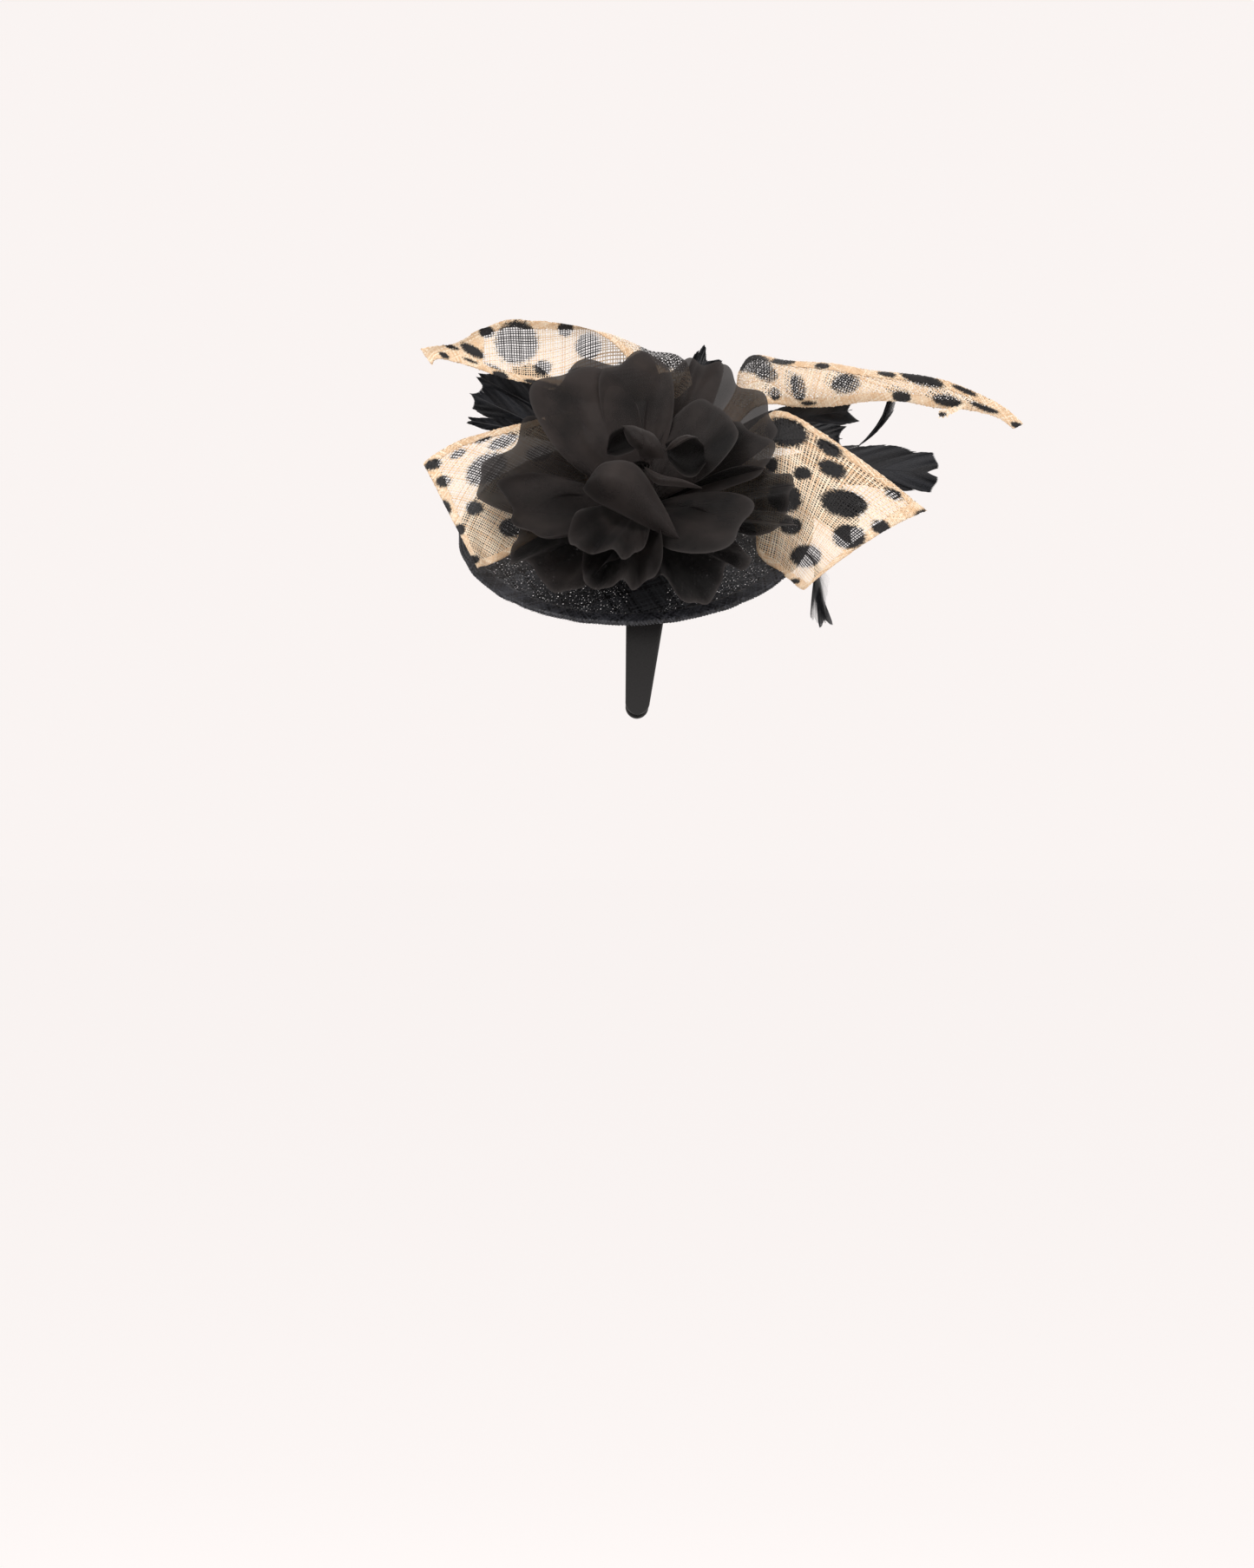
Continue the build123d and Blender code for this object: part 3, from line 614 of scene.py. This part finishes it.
def organza_petal(name, node, turn, length, spread, rise, painted_light, seed, cup=12.0, ruffle=1.5, waves=5,
                  point=0.0, roll=0.0, foot=0.0):
    """One petal on rays that fan out from the stem, a from foot to rim and b from side to side.

    A ray's length follows a round outline, 1 - |b|^3 to the power of a half, with slow lumps. Its
    climb goes from the first rise to the second in degrees, more at the sides where the petal cups,
    and more at the rim where it rolls. Steps along the ray are added up to points. The rim ruffles
    by sines that grow with the cube of a, and creases and a slow sway are products of sines.
    """
    rng = np.random.default_rng(seed)
    rows, columns = 44, 84
    a = np.linspace(0.0, 1.0, rows)[:, None]
    b = np.linspace(-0.985, 0.985, columns)[None, :]
    lumps = sum(rng.normal(0, 0.026) * np.sin(k * 2.4 * b + rng.uniform(0, 6.3))
                for k in range(1, 6))
    outline = np.sqrt(1 - np.abs(b) ** 3) * (1 + lumps + point * np.exp(-(b / 0.22) ** 2))
    climb = rise[0] + (rise[1] - rise[0]) * a + cup * b ** 2
    climb = climb + roll * np.clip((a - 0.78) / 0.22, 0, 1) ** 1.5 * (0.75 + 0.25 * np.cos(3 * b))
    step = length * outline / (rows - 1)
    climb = np.radians(climb) + 0 * b
    reach = np.cumsum(np.cos(climb) * step, axis=0)
    height = np.cumsum(np.sin(climb) * step, axis=0)
    way = np.radians(turn + spread * b)
    phase = rng.uniform(0, 6.3, 6)
    edge = sum(np.sin(waves * (k + 1) * 1.3 * b + phase[k]) / (k + 1) for k in range(3))
    creases = (0.45 * np.sin(11 * b + 3 * a + phase[3]) * np.sin(6 * b - 4 * a + phase[4])
               * np.sin(np.pi * a))
    creases = creases + 0.8 * np.sin(8 * b + 1.5 * a + phase[0]) * a
    sway = 2.6 * np.sin(2.4 * b + phase[5]) * np.sin(2.8 * a + phase[4]) * a
    height = height + foot + ruffle * a ** 3 * (edge + 0.6) + creases + sway
    reach = reach - 0.35 * ruffle * a ** 3 * np.abs(edge)
    points = (BLOOM_FOOT + (reach * np.cos(way))[..., None] * BLOOM_RIGHT
              + (reach * np.sin(way))[..., None] * BLOOM_UP + height[..., None] * BLOOM_AXIS)
    # the petal carries a painted light value: lighter where lit from above, darker where in shade
    piece = grid_mesh(name, points, {"edge_and_highlight": a ** 40 + 0 * b, "painted_light": painted_light})
    finish_organza(piece, node)


organza = bpy.data.materials.new("black_organza")
organza.use_nodes = True
nodes, links = organza.node_tree.nodes, organza.node_tree.links
shader = nodes["Principled BSDF"]
for socket, value in {"Roughness": 0.6, "Specular IOR Level": 0.16, "Sheen Weight": 0.05,
                      "Sheen Roughness": 0.4, "Sheen Tint": (0.75, 0.70, 0.68, 1),
                      "Alpha": 0.93}.items():
    shader.inputs[socket].default_value = value
place = nodes.new("ShaderNodeTexCoord")
cloud, weave_noise = nodes.new("ShaderNodeTexNoise"), nodes.new("ShaderNodeTexNoise")
for noise, scale, detail in ((cloud, 38.0, 4.0), (weave_noise, 2600.0, 1.0)):
    noise.inputs["Scale"].default_value = scale
    noise.inputs["Detail"].default_value = detail
    links.new(place.outputs["Object"], noise.inputs["Vector"])
# lighter outer edge: partly the real heat-sealed cut edge, partly a painted highlight where the
# rolled rim catches light
edge_and_highlight = nodes.new("ShaderNodeAttribute")
edge_and_highlight.attribute_name = "edge_and_highlight"
tone_ramp = nodes.new("ShaderNodeValToRGB")
dark, light = tone_ramp.color_ramp.elements
dark.position, dark.color = 0.3, (0.0022, 0.0019, 0.0019, 1)
light.position, light.color = 0.75, (0.024, 0.0185, 0.017, 1)
# painted light and shade: lit upper petals are lighter and browner, shaded lower ones and hollows
# blacker
painted_light_value = nodes.new("ShaderNodeAttribute")
painted_light_value.attribute_name = "painted_light"
painted_light_cloud = nodes.new("ShaderNodeMath")
painted_light_cloud.operation = "MULTIPLY"
links.new(cloud.outputs["Fac"], painted_light_cloud.inputs[0])
links.new(painted_light_value.outputs["Fac"], painted_light_cloud.inputs[1])
links.new(painted_light_cloud.outputs["Value"], tone_ramp.inputs["Fac"])
edge_and_highlight_mix = nodes.new("ShaderNodeMix")
edge_and_highlight_mix.data_type = "RGBA"
edge_and_highlight_mix.inputs["B"].default_value = (0.034, 0.030, 0.029, 1)
links.new(edge_and_highlight.outputs["Fac"], edge_and_highlight_mix.inputs["Factor"])
links.new(tone_ramp.outputs["Color"], edge_and_highlight_mix.inputs["A"])
links.new(edge_and_highlight_mix.outputs["Result"], shader.inputs["Base Color"])
bump = nodes.new("ShaderNodeBump")
bump.inputs["Strength"].default_value = 0.25
bump.inputs["Distance"].default_value = 0.0001
links.new(weave_noise.outputs["Fac"], bump.inputs["Height"])
links.new(bump.outputs["Normal"], shader.inputs["Normal"])

# node it stands for, turn from the back of the head towards the top, length, half spread, climb at
# the foot and at the rim, painted light and shade (high on the lit upper petals, low on the shaded
# lower ones), and what sets its form apart
petals = {
    "petal_top_left": ("outer_petal_1", 112, 92, 44, (34, 14), 1.3,
        dict(cup=8, ruffle=1.4, waves=3)),
    "petal_top_back": ("outer_petal_2", 66, 88, 26, (38, 18), 1.2, dict(ruffle=1.8, point=0.08)),
    "petal_top_right": ("outer_petal_3", 46, 94, 38, (32, 12), 1.0,
        dict(cup=6, ruffle=1.8, waves=4)),
    "petal_right": ("outer_petal_4", -14, 94, 24, (30, 12), 0.6, dict(cup=10, ruffle=3.6, waves=7)),
    "petal_left": ("outer_petal_5", 172, 92, 42, (32, 8), 0.95, dict(cup=6, ruffle=1.8, waves=4)),
    "petal_lower_left": ("outer_petal_6", -132, 96, 36, (30, 11), 0.85, dict(ruffle=4.2, waves=6)),
    "petal_lower_right": ("outer_petal_7", -64, 96, 36, (30, 13), 0.75, dict(ruffle=4.6, waves=7)),
    "petal_lower_middle": (None, -100, 90, 28, (34, 14), 0.8, dict(ruffle=4.6, waves=6, foot=4)),
    "petal_right_back": (None, 16, 80, 30, (36, 16), 0.9, dict(waves=4, foot=2)),
    "petal_top_middle": (None, 92, 84, 32, (40, 22), 1.2, dict(ruffle=1.4, waves=3, foot=4)),
    "petal_sweep": ("middle_petal_1", -150, 90, 34, (34, 14), 1.0, dict(roll=50, foot=8)),
    "petal_round_right": ("middle_petal_2", -44, 80, 40, (44, 12), 0.9,
        dict(cup=2, waves=3, foot=8)),
    "petal_round_low": ("middle_petal_3", -110, 82, 32, (44, 18), 0.85,
        dict(ruffle=4.4, waves=6, foot=8)),
    "petal_back_left": ("middle_petal_4", 128, 84, 44, (46, 14), 1.3, dict(cup=2, waves=3, foot=9)),
    "petal_back_right": ("middle_petal_5", 36, 70, 40, (46, 20), 0.9, dict(cup=3, waves=3, foot=9))}
for seed, (name, (node, turn, length, spread, climb, painted_light, form)) in enumerate(petals.items(), 31):
    organza_petal(name, node, turn, length, spread, climb, painted_light, seed, **form)

# ---- bloom heart: seven small petals folded by hand round the bud ----
# Each is a patch between two rim curves that meet at its tip, with a belly between them.


def heart_petal(name, node, first, second, belly, painted_light, seed):
    """A patch from one rim curve to the other, bowed by a belly that is fullest half way."""
    rows, columns = 30, 60
    u = np.linspace(0, 1, columns)[None, :] + np.zeros((rows, 1))
    v = np.linspace(0, 1, rows)[:, None] + np.zeros((1, columns))
    swell = 4 * v * (1 - v)
    points = (through(first, u) * (1 - v)[..., None] + through(second, u) * v[..., None]
              + swell[..., None] * through(belly, u))
    rng = np.random.default_rng(seed)
    phase = rng.uniform(0, 6.3, 2)
    crease = 0.5 * np.sin(5 * v + 4 * u + phase[0]) * np.sin(np.pi * u) * np.sin(6 * v + phase[1])
    points = points + crease[..., None] * np.array((0.0, -1.0, 0.0))
    # both long rims are lighter: sealed cut edge and painted highlight
    edge_and_highlight_value = np.maximum(v ** 20, (1 - v) ** 20)
    # the patch's painted light value makes it look lit, or shaded in the hollows
    piece = grid_mesh(name, points, {"edge_and_highlight": edge_and_highlight_value, "painted_light": painted_light})
    finish_organza(piece, node)


# node it stands for, one rim curve, the other, the belly along them, and the painted light, which
# is low in the shaded hollows
heart = {
    "heart_front": ("inner_petal_1",
     [(-34, -90, 14), (-34, -96, 19), (-26, -102, 25), (-10, -105, 23),
      (3.6, -107, 3), (14, -108, -18)],
     [(-34, -90, 14), (-39, -95, 11), (-33, -101, 4), (-20, -106, -3),
      (-1, -108, -12.7), (14, -108, -18)],
     [(0, 0, 0), (0, -3, 0), (0, -8, 2), (0, -9, 2), (0, -5, 0), (0, 0, 0)], 1.1),
    "heart_curl": ("inner_petal_2",
     [(-6, -96, 23), (4, -101, 18), (16, -103, 15), (26, -100, 11)],
     [(-6, -96, 23), (0, -106, 13), (12, -108, 11), (26, -100, 10.5)],
     [(0, 0, 0), (0, -4, 1), (0, -4, 1), (0, 0, 0)], 1.1),
    "heart_bud_wrap": ("inner_petal_3",
     [(-18, -88, 46), (-14, -92, 36), (-6, -94, 30), (2, -90, 28)],
     [(-18, -88, 46), (-10, -93, 45), (-2, -94, 40), (3, -90, 28)],
     [(0, 0, 0), (0, -6, 0), (0, -6, 0), (0, 0, 0)], 1.1),
    "heart_hollow": ("inner_petal_4",
     [(6, -90, 36), (13, -95, 39), (20, -95, 40), (27, -90, 35)],
     [(8, -90, 26), (15, -88, 19), (22, -88, 18), (28, -88, 25)],
     [(0, 6, 0), (0, 10, 0), (0, 10, 0), (0, 6, 0)], 0.3),
    "heart_hollow_lip": (None,
     [(5, -91, 31), (10, -97, 37), (17, -98, 40), (24, -93, 39)],
     [(5, -91, 31), (11, -99, 33), (18, -100, 37), (24, -93, 39)],
     [(0, 0, 0), (0, -2, 0), (0, -2, 0), (0, 0, 0)], 1.1),
    "heart_fold_left": (None,
     [(-26, -86, 34), (-24, -90, 41), (-19, -92, 44), (-15, -90, 45)],
     [(-26, -86, 30), (-20, -88, 29), (-13, -90, 31), (-10, -91, 33)],
     [(0, 5, 0), (0, 8, 0), (0, 8, 0), (0, 5, 0)], 0.3),
    "heart_fold_right": (None,
     [(-12, -92, 44), (-6, -96, 43), (0, -97, 40), (5, -93, 33)],
     [(-8, -91, 28), (-3, -95, 27), (1, -96, 27), (5, -93, 27)],
     [(0, -3, 0), (0, -6, 0), (0, -5, 0), (0, -2, 0)], 1.1)}
for seed, (name, (node, first, second, belly, painted_light)) in enumerate(heart.items(), 51):
    heart_petal(name, node, first, second, belly, painted_light, seed)

# ---- bud: a strip of organza rolled round the end of the stem ----
# It is wound two and a half times, looser towards the top, where its raw edge opens out.
BUD_FOOT = 24.0
BUD_HEIGHT = 23.0
turns = 2.6
rows, columns = 26, 150
up_share = np.linspace(0, 1, rows)[:, None]
round_share = np.linspace(0, 1, columns)[None, :]
angle = 2 * np.pi * turns * round_share + 0.5 * up_share
bulb = np.sin(np.pi * (0.16 + 0.66 * up_share)) ** 0.8
radius = (2.0 + 7.0 * round_share) * bulb + 0.35 * np.sin(5 * angle) * up_share ** 2
rise = (BUD_FOOT + BUD_HEIGHT * up_share * (1.0 - 0.10 * round_share)
        + 0.7 * np.sin(3 * angle) * up_share ** 3)
points = (BLOOM_FOOT + (radius * np.cos(angle))[..., None] * BLOOM_RIGHT
          + (radius * np.sin(angle))[..., None] * BLOOM_UP + rise[..., None] * BLOOM_AXIS)
# the bud carries a painted light value as bright as the lit heart petals
bud = grid_mesh("bloom_bud_roll", points, {"edge_and_highlight": up_share ** 20 + 0 * round_share, "painted_light": 1.1})
finish_organza(bud, "bloom_bud")

# ---- feathers: black goose quills, trimmed square at the tip and curled over a knife ----
# A vane is made of barbs that leave the shaft at a slant and lie over each other.
FEATHER_RISE = 3.0
BARBS = 170                 # ribbons on either side of a shaft


def vane(name, node, line, bare, width, tip_width, seed, slant=27.0, cup=0.25, lie=None):
    """A feather along a line of points.

    The shaft follows the line and thins to its tip. Each barb is a ribbon of four spans that
    leaves it at the slant and runs out to the outline, half the width where the vane is broadest
    and half the tip's width at the end, where all are cut off square. It cups by the square of
    its distance from the shaft.
    """
    rng = np.random.default_rng(seed)
    line = np.asarray(line, float)
    u = np.linspace(0, 1, 200)
    shaft = through(line, u)
    length = float(np.linalg.norm(np.diff(shaft, axis=0), axis=1).sum())
    ahead = np.gradient(shaft, axis=0)
    ahead /= np.linalg.norm(ahead, axis=1, keepdims=True)
    upright = np.array((0.0, 0.0, 1.0)) if lie is None else np.asarray(lie, float)
    side = upright - (ahead @ upright)[:, None] * ahead
    side /= np.linalg.norm(side, axis=1, keepdims=True)
    face = np.cross(ahead, side)

    def beside(share, along, out_by, off):
        """Points by the shaft: a share along it, then lengths ahead, sideways and off it."""
        spot = np.clip(share, 0, 1) * (len(u) - 1)
        low = np.clip(spot.astype(int), 0, len(u) - 2)
        f = (spot - low)[..., None]
        def mix(rows):
            return rows[low] * (1 - f) + rows[low + 1] * f
        return (mix(shaft) + along[..., None] * mix(ahead) + out_by[..., None] * mix(side)
                + off[..., None] * mix(face))

    parts = []
    tilt = np.radians(slant)
    for hand in (-1.0, 1.0):
        start = np.linspace(bare, 0.99, BARBS) + rng.normal(0, 0.1 / BARBS, BARBS)
        swell = np.clip((start - bare) / (1 - bare), 0, 1)
        half = width / 2 * np.clip(swell / 0.45, 0, 1) ** 0.6
        half = half + (tip_width - width) / 2 * np.clip((swell - 0.45) / 0.55, 0, 1)
        splits = (1 - 0.05 * (np.sin(swell * 23 + seed) > 0.93)
                  - 0.03 * (np.sin(swell * 41 + hand) > 0.9))
        half = half * splits * rng.uniform(0.985, 1.01, BARBS)
        reach = half / np.sin(tilt)
        left = (1.0 + 0.03 * np.sin(9 * swell + seed) * swell - start) * length / np.cos(tilt)
        reach = np.minimum(reach, np.maximum(left, 0.6))
        w = np.linspace(0, 1, 5)[None, :, None]
        thick = (length * (1 - bare) / BARBS) * np.array((-1.6, 1.6))[None, None, :]
        lean = (1 + 0.04 * np.sin(np.arange(BARBS) / 6.0 + seed))[:, None, None]
        lean = tilt * (1 - 0.25 * w) * lean
        out_by = reach[:, None, None] * w * np.sin(lean)
        along = reach[:, None, None] * w * np.cos(lean)
        along = along + thick * (1 - 0.25 * w)
        flutter = np.sin(np.arange(BARBS) * 0.33 + seed)[:, None, None]
        height = cup * out_by ** 2 / (width / 2) + 0.25 * w * flutter
        height = height + np.array((-0.14, 0.14))[None, None, :] * hand
        out_by = np.broadcast_to(out_by, along.shape)
        share = np.broadcast_to(start[:, None, None], along.shape)
        points = beside(share, along, hand * out_by, height).reshape(-1, 3)
        corner = np.arange(BARBS * 10).reshape(BARBS, 5, 2)
        quads = np.stack([corner[:, :-1, 0], corner[:, :-1, 1],
                          corner[:, 1:, 1], corner[:, 1:, 0]], -1)
        quads = quads.reshape(-1, 4) if hand > 0 else quads.reshape(-1, 4)[:, ::-1]
        tone = rng.normal(0.45, 0.12, BARBS) + 0.2 * np.sin(np.arange(BARBS) / 9.0 + seed)
        parts.append((points, quads, {"tone": np.repeat(tone, 10)}))
    t, q = np.meshgrid(np.linspace(0, 0.995, 60), np.linspace(0, 2 * np.pi, 9), indexing="ij")
    thickness = 0.62 * (1 - 0.7 * t)
    points = beside(t, 0 * t, thickness * np.cos(q), thickness * np.sin(q))
    corner = np.arange(540).reshape(60, 9)
    quads = np.stack([corner[:-1, :-1], corner[:-1, 1:], corner[1:, 1:], corner[1:, :-1]], -1)
    parts.append((points.reshape(-1, 3), quads.reshape(-1, 4), {"tone": np.full(540, 0.4)}))
    piece = put_mesh(name, *join_parts(parts))
    fix_to_crown(piece, feather_black, node)


feather_black = fibre("black_feather", (0.020, 0.022, 0.027), (0.003, 0.003, 0.004), roughness=0.36)
feather_shader = feather_black.node_tree.nodes["Principled BSDF"]
for socket, value in {"Sheen Weight": 0.06, "Sheen Tint": (0.70, 0.76, 0.90, 1),
                      "Sheen Roughness": 0.35}.items():
    feather_shader.inputs[socket].default_value = value

# foot across and up the base, a point half way, the tip, bare share, width, tip width, cup
feathers = {
    "feather_left_front": ((-9, 44), (-52, -6, 46), (-105, 4, 73), 0.34, 22.0, 17.0, 0.50),
    "feather_left_middle": ((-9, 48), (-50, -2, 54), (-99, 11, 83), 0.34, 25.0, 20.0, 0.45),
    "feather_left_back": ((-9, 52), (-42, 4, 60), (-80, 16, 86), 0.34, 24.0, 17.0, 0.45),
    "feather_left_blade": ((-9, 40), (-60, -8, 46), (-104, 1, 57), 0.42, 12.0, 4.0, 0.30),
    "feather_top": ((-3, 56), (12, 8, 66), (31, 15, 93), 0.30, 22.0, 14.0, 0.30),
    "feather_right_upper": ((8, 50), (58, 4, 54), (114, 10, 64), 0.32, 22.0, 17.0, 0.40),
    "feather_right_middle": ((8, 46), (56, 0, 44), (108, 5, 47), 0.32, 22.0, 18.0, 0.40),
    "feather_right_fan_upper": ((8, 36), (62, -25, 19), (113, -42, -4), 0.34, 34.0, 24.0, 0.10),
    "feather_right_fan_lower": ((9, 41), (82, -9, 30), (156, -6, 27), 0.24, 34.0, 24.0, 0.25)}
for seed, (name, (foot, middle, tip, bare, width, end, cup)) in enumerate(feathers.items(), 60):
    vane(name + "_barbs", name, [on_base(*foot, FEATHER_RISE), middle, tip], bare, width, end,
         seed, cup=cup)
vane("feather_lower_right_barbs", "feather_lower_right",
     [on_base(56, -14, FEATHER_RISE), on_base(80, -32, 5.0), on_base(95, -47, 4.5), (89, -79, -40),
      (94, -78, -62)],
     0.40, 11.0, 7.0, 71, slant=13.0, lie=(1.0, 0.0, 0.2))
vane("feather_right_curl_barbs", "feather_right_curl",
     [on_base(10, 54, FEATHER_RISE), (60, 12, 46), (104, 14, 36), (118, 14, 44), (129, 14, 56),
      (136, 13, 71)],
     0.58, 6.0, 4.5, 72, slant=12.0)

# ---- headband: black satin ribbon glued round a spring strip ----
# The ribbon's edges meet along the middle of the inner face. Two lengths butt at the crown, under
# the base.
BAND_OUTER = 2.6
CROWN_RADIUS = 73.0
TAIL_DROP = 39.0
TAIL_DRAW = 5.0
BAND_LEAN = np.radians(5.0)
TIP_LEVEL = -112.0
TIP_HALF = 6.75             # half widths where the round tip starts and at the crown
CROWN_HALF = 10.75
TAPER_LEVEL = -55.0         # the band narrows from here down
BUTT_GAP = 0.15
BAND_UP = np.array((np.sin(BAND_LEAN), 0.0, np.cos(BAND_LEAN)))
BAND_ACROSS = np.array((np.cos(BAND_LEAN), 0.0, -np.sin(BAND_LEAN)))
tail_radius = (TAIL_DROP ** 2 + TAIL_DRAW ** 2) / (2 * TAIL_DRAW)


def band_line(walked, hand):
    """The middle of the thickness, the outward way and the level at a distance from the crown.

    A quarter round runs down to the widest place and a larger round draws the tail in.
    """
    mid_radius = CROWN_RADIUS + BAND_OUTER / 2
    quarter = mid_radius * np.pi / 2
    turn = np.minimum(walked, quarter) / mid_radius
    tail = np.maximum(walked - quarter, 0) / (tail_radius + BAND_OUTER / 2)
    sideways = np.where(walked < quarter, mid_radius * np.sin(turn),
                        CROWN_RADIUS - tail_radius + (tail_radius + BAND_OUTER / 2) * np.cos(tail))
    level = np.where(walked < quarter, mid_radius * np.cos(turn) - CROWN_RADIUS,
                     -CROWN_RADIUS - (tail_radius + BAND_OUTER / 2) * np.sin(tail))
    slope = np.where(walked < quarter, np.pi / 2 - turn, -tail)
    middle = level[..., None] * BAND_UP + (hand * sideways)[..., None] * np.array((0.0, 1.0, 0.0))
    outward = (np.sin(slope)[..., None] * BAND_UP
               + (hand * np.cos(slope))[..., None] * np.array((0.0, 1.0, 0.0)))
    return middle, outward, level


satin = fibre("black_satin", (0.0075, 0.0070, 0.0070), (0.0035, 0.0033, 0.0033), roughness=0.45)
satin_shader = satin.node_tree.nodes["Principled BSDF"]
for socket, value in {"Sheen Weight": 0.05, "Sheen Roughness": 0.5}.items():
    satin_shader.inputs[socket].default_value = value
for name, hand, flex in (("left", -1.0, 52.0), ("right", 1.0, 38.0)):
    rows = 260
    # round the band from the middle of its inner face: the way each point faces, then its place
    fold = np.concatenate([np.full(9, -90.0), np.linspace(-90, 90, 9)[1:-1], np.full(17, 90.0),
                           np.linspace(90, 270, 9)[1:-1], np.full(9, 270.0)])
    centre = np.concatenate([np.linspace(0.015, 1, 9), np.ones(7), np.linspace(1, -1, 17),
                             -np.ones(7), np.linspace(-1, -0.015, 9)])
    spacing = 1 - (1 - np.linspace(0, 1, rows)) ** 1.35
    tail_mid = tail_radius + BAND_OUTER / 2
    total = ((CROWN_RADIUS + BAND_OUTER / 2) * np.pi / 2
             + tail_mid * np.arcsin((-TIP_LEVEL - CROWN_RADIUS) / tail_mid))
    walked = BUTT_GAP + spacing * (total - BUTT_GAP)
    middle, outward, level = band_line(walked, hand)
    round_level = TIP_LEVEL + TIP_HALF
    half = np.interp(level, (round_level, TAPER_LEVEL), (TIP_HALF, CROWN_HALF))
    tip = np.sqrt(np.maximum(TIP_HALF ** 2 - (level - round_level) ** 2, 0.01))
    half = np.where(level < round_level, tip, half)
    round_edge = np.minimum(BAND_OUTER / 2, half)
    swell = 1 + 0.012 * np.sin(np.arange(rows) / 5.0)
    wide = (centre[None, :] * (half - round_edge)[:, None]
            + round_edge[:, None] * np.cos(np.radians(fold))[None, :])
    thick = (round_edge * swell)[:, None] * np.sin(np.radians(fold))[None, :]
    points = (middle[:, None, :] + wide[..., None] * BAND_ACROSS
              + thick[..., None] * outward[:, None, :])
    if hand < 0:
        points = points[:, ::-1]
    cover = grid_mesh(f"headband_satin_{name}", points, {"tone": np.full((rows, len(fold)), 0.5)})
    cover.data.materials.append(satin)
    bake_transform(cover)
    crown = ["headband_cover_crown"] if hand < 0 else []
    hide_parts(f"headband_cover_{name}_arm", *crown)
    area = float(np.sum(0.5 * (4 * half[1:] + 4 * half[:-1]) * np.diff(walked)))

# ---- small parts kept from the frame: strip, wires, felt discs, calyx and thread ----
# The spring strip is moulded plastic, the wires are cotton covered, and the felts are pressed wool.
plastic = fibre("spring_plastic", (0.020, 0.020, 0.021), (0.011, 0.011, 0.012), roughness=0.5)
covered_wire = fibre("covered_wire", (0.030, 0.030, 0.032), (0.008, 0.008, 0.009), roughness=0.7)
felt = fibre("black_felt", (0.028, 0.028, 0.030), (0.009, 0.009, 0.010), roughness=0.95)
sewing_thread = fibre("black_thread", (0.035, 0.035, 0.038), (0.010, 0.010, 0.011), roughness=0.6)
finishes = {plastic: ("headband_core_crown", "headband_core_left_arm", "headband_core_right_arm"),
            covered_wire: ("base_rim_wire", "bloom_stem_wire"),
            felt: ("underside_felt", "feather_mount_felt", "bloom_calyx"),
            sewing_thread: ("headband_stitches",)}
for paint, names in finishes.items():
    for node in names:
        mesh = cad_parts[node].data
        mesh.materials.clear()
        mesh.materials.append(paint)
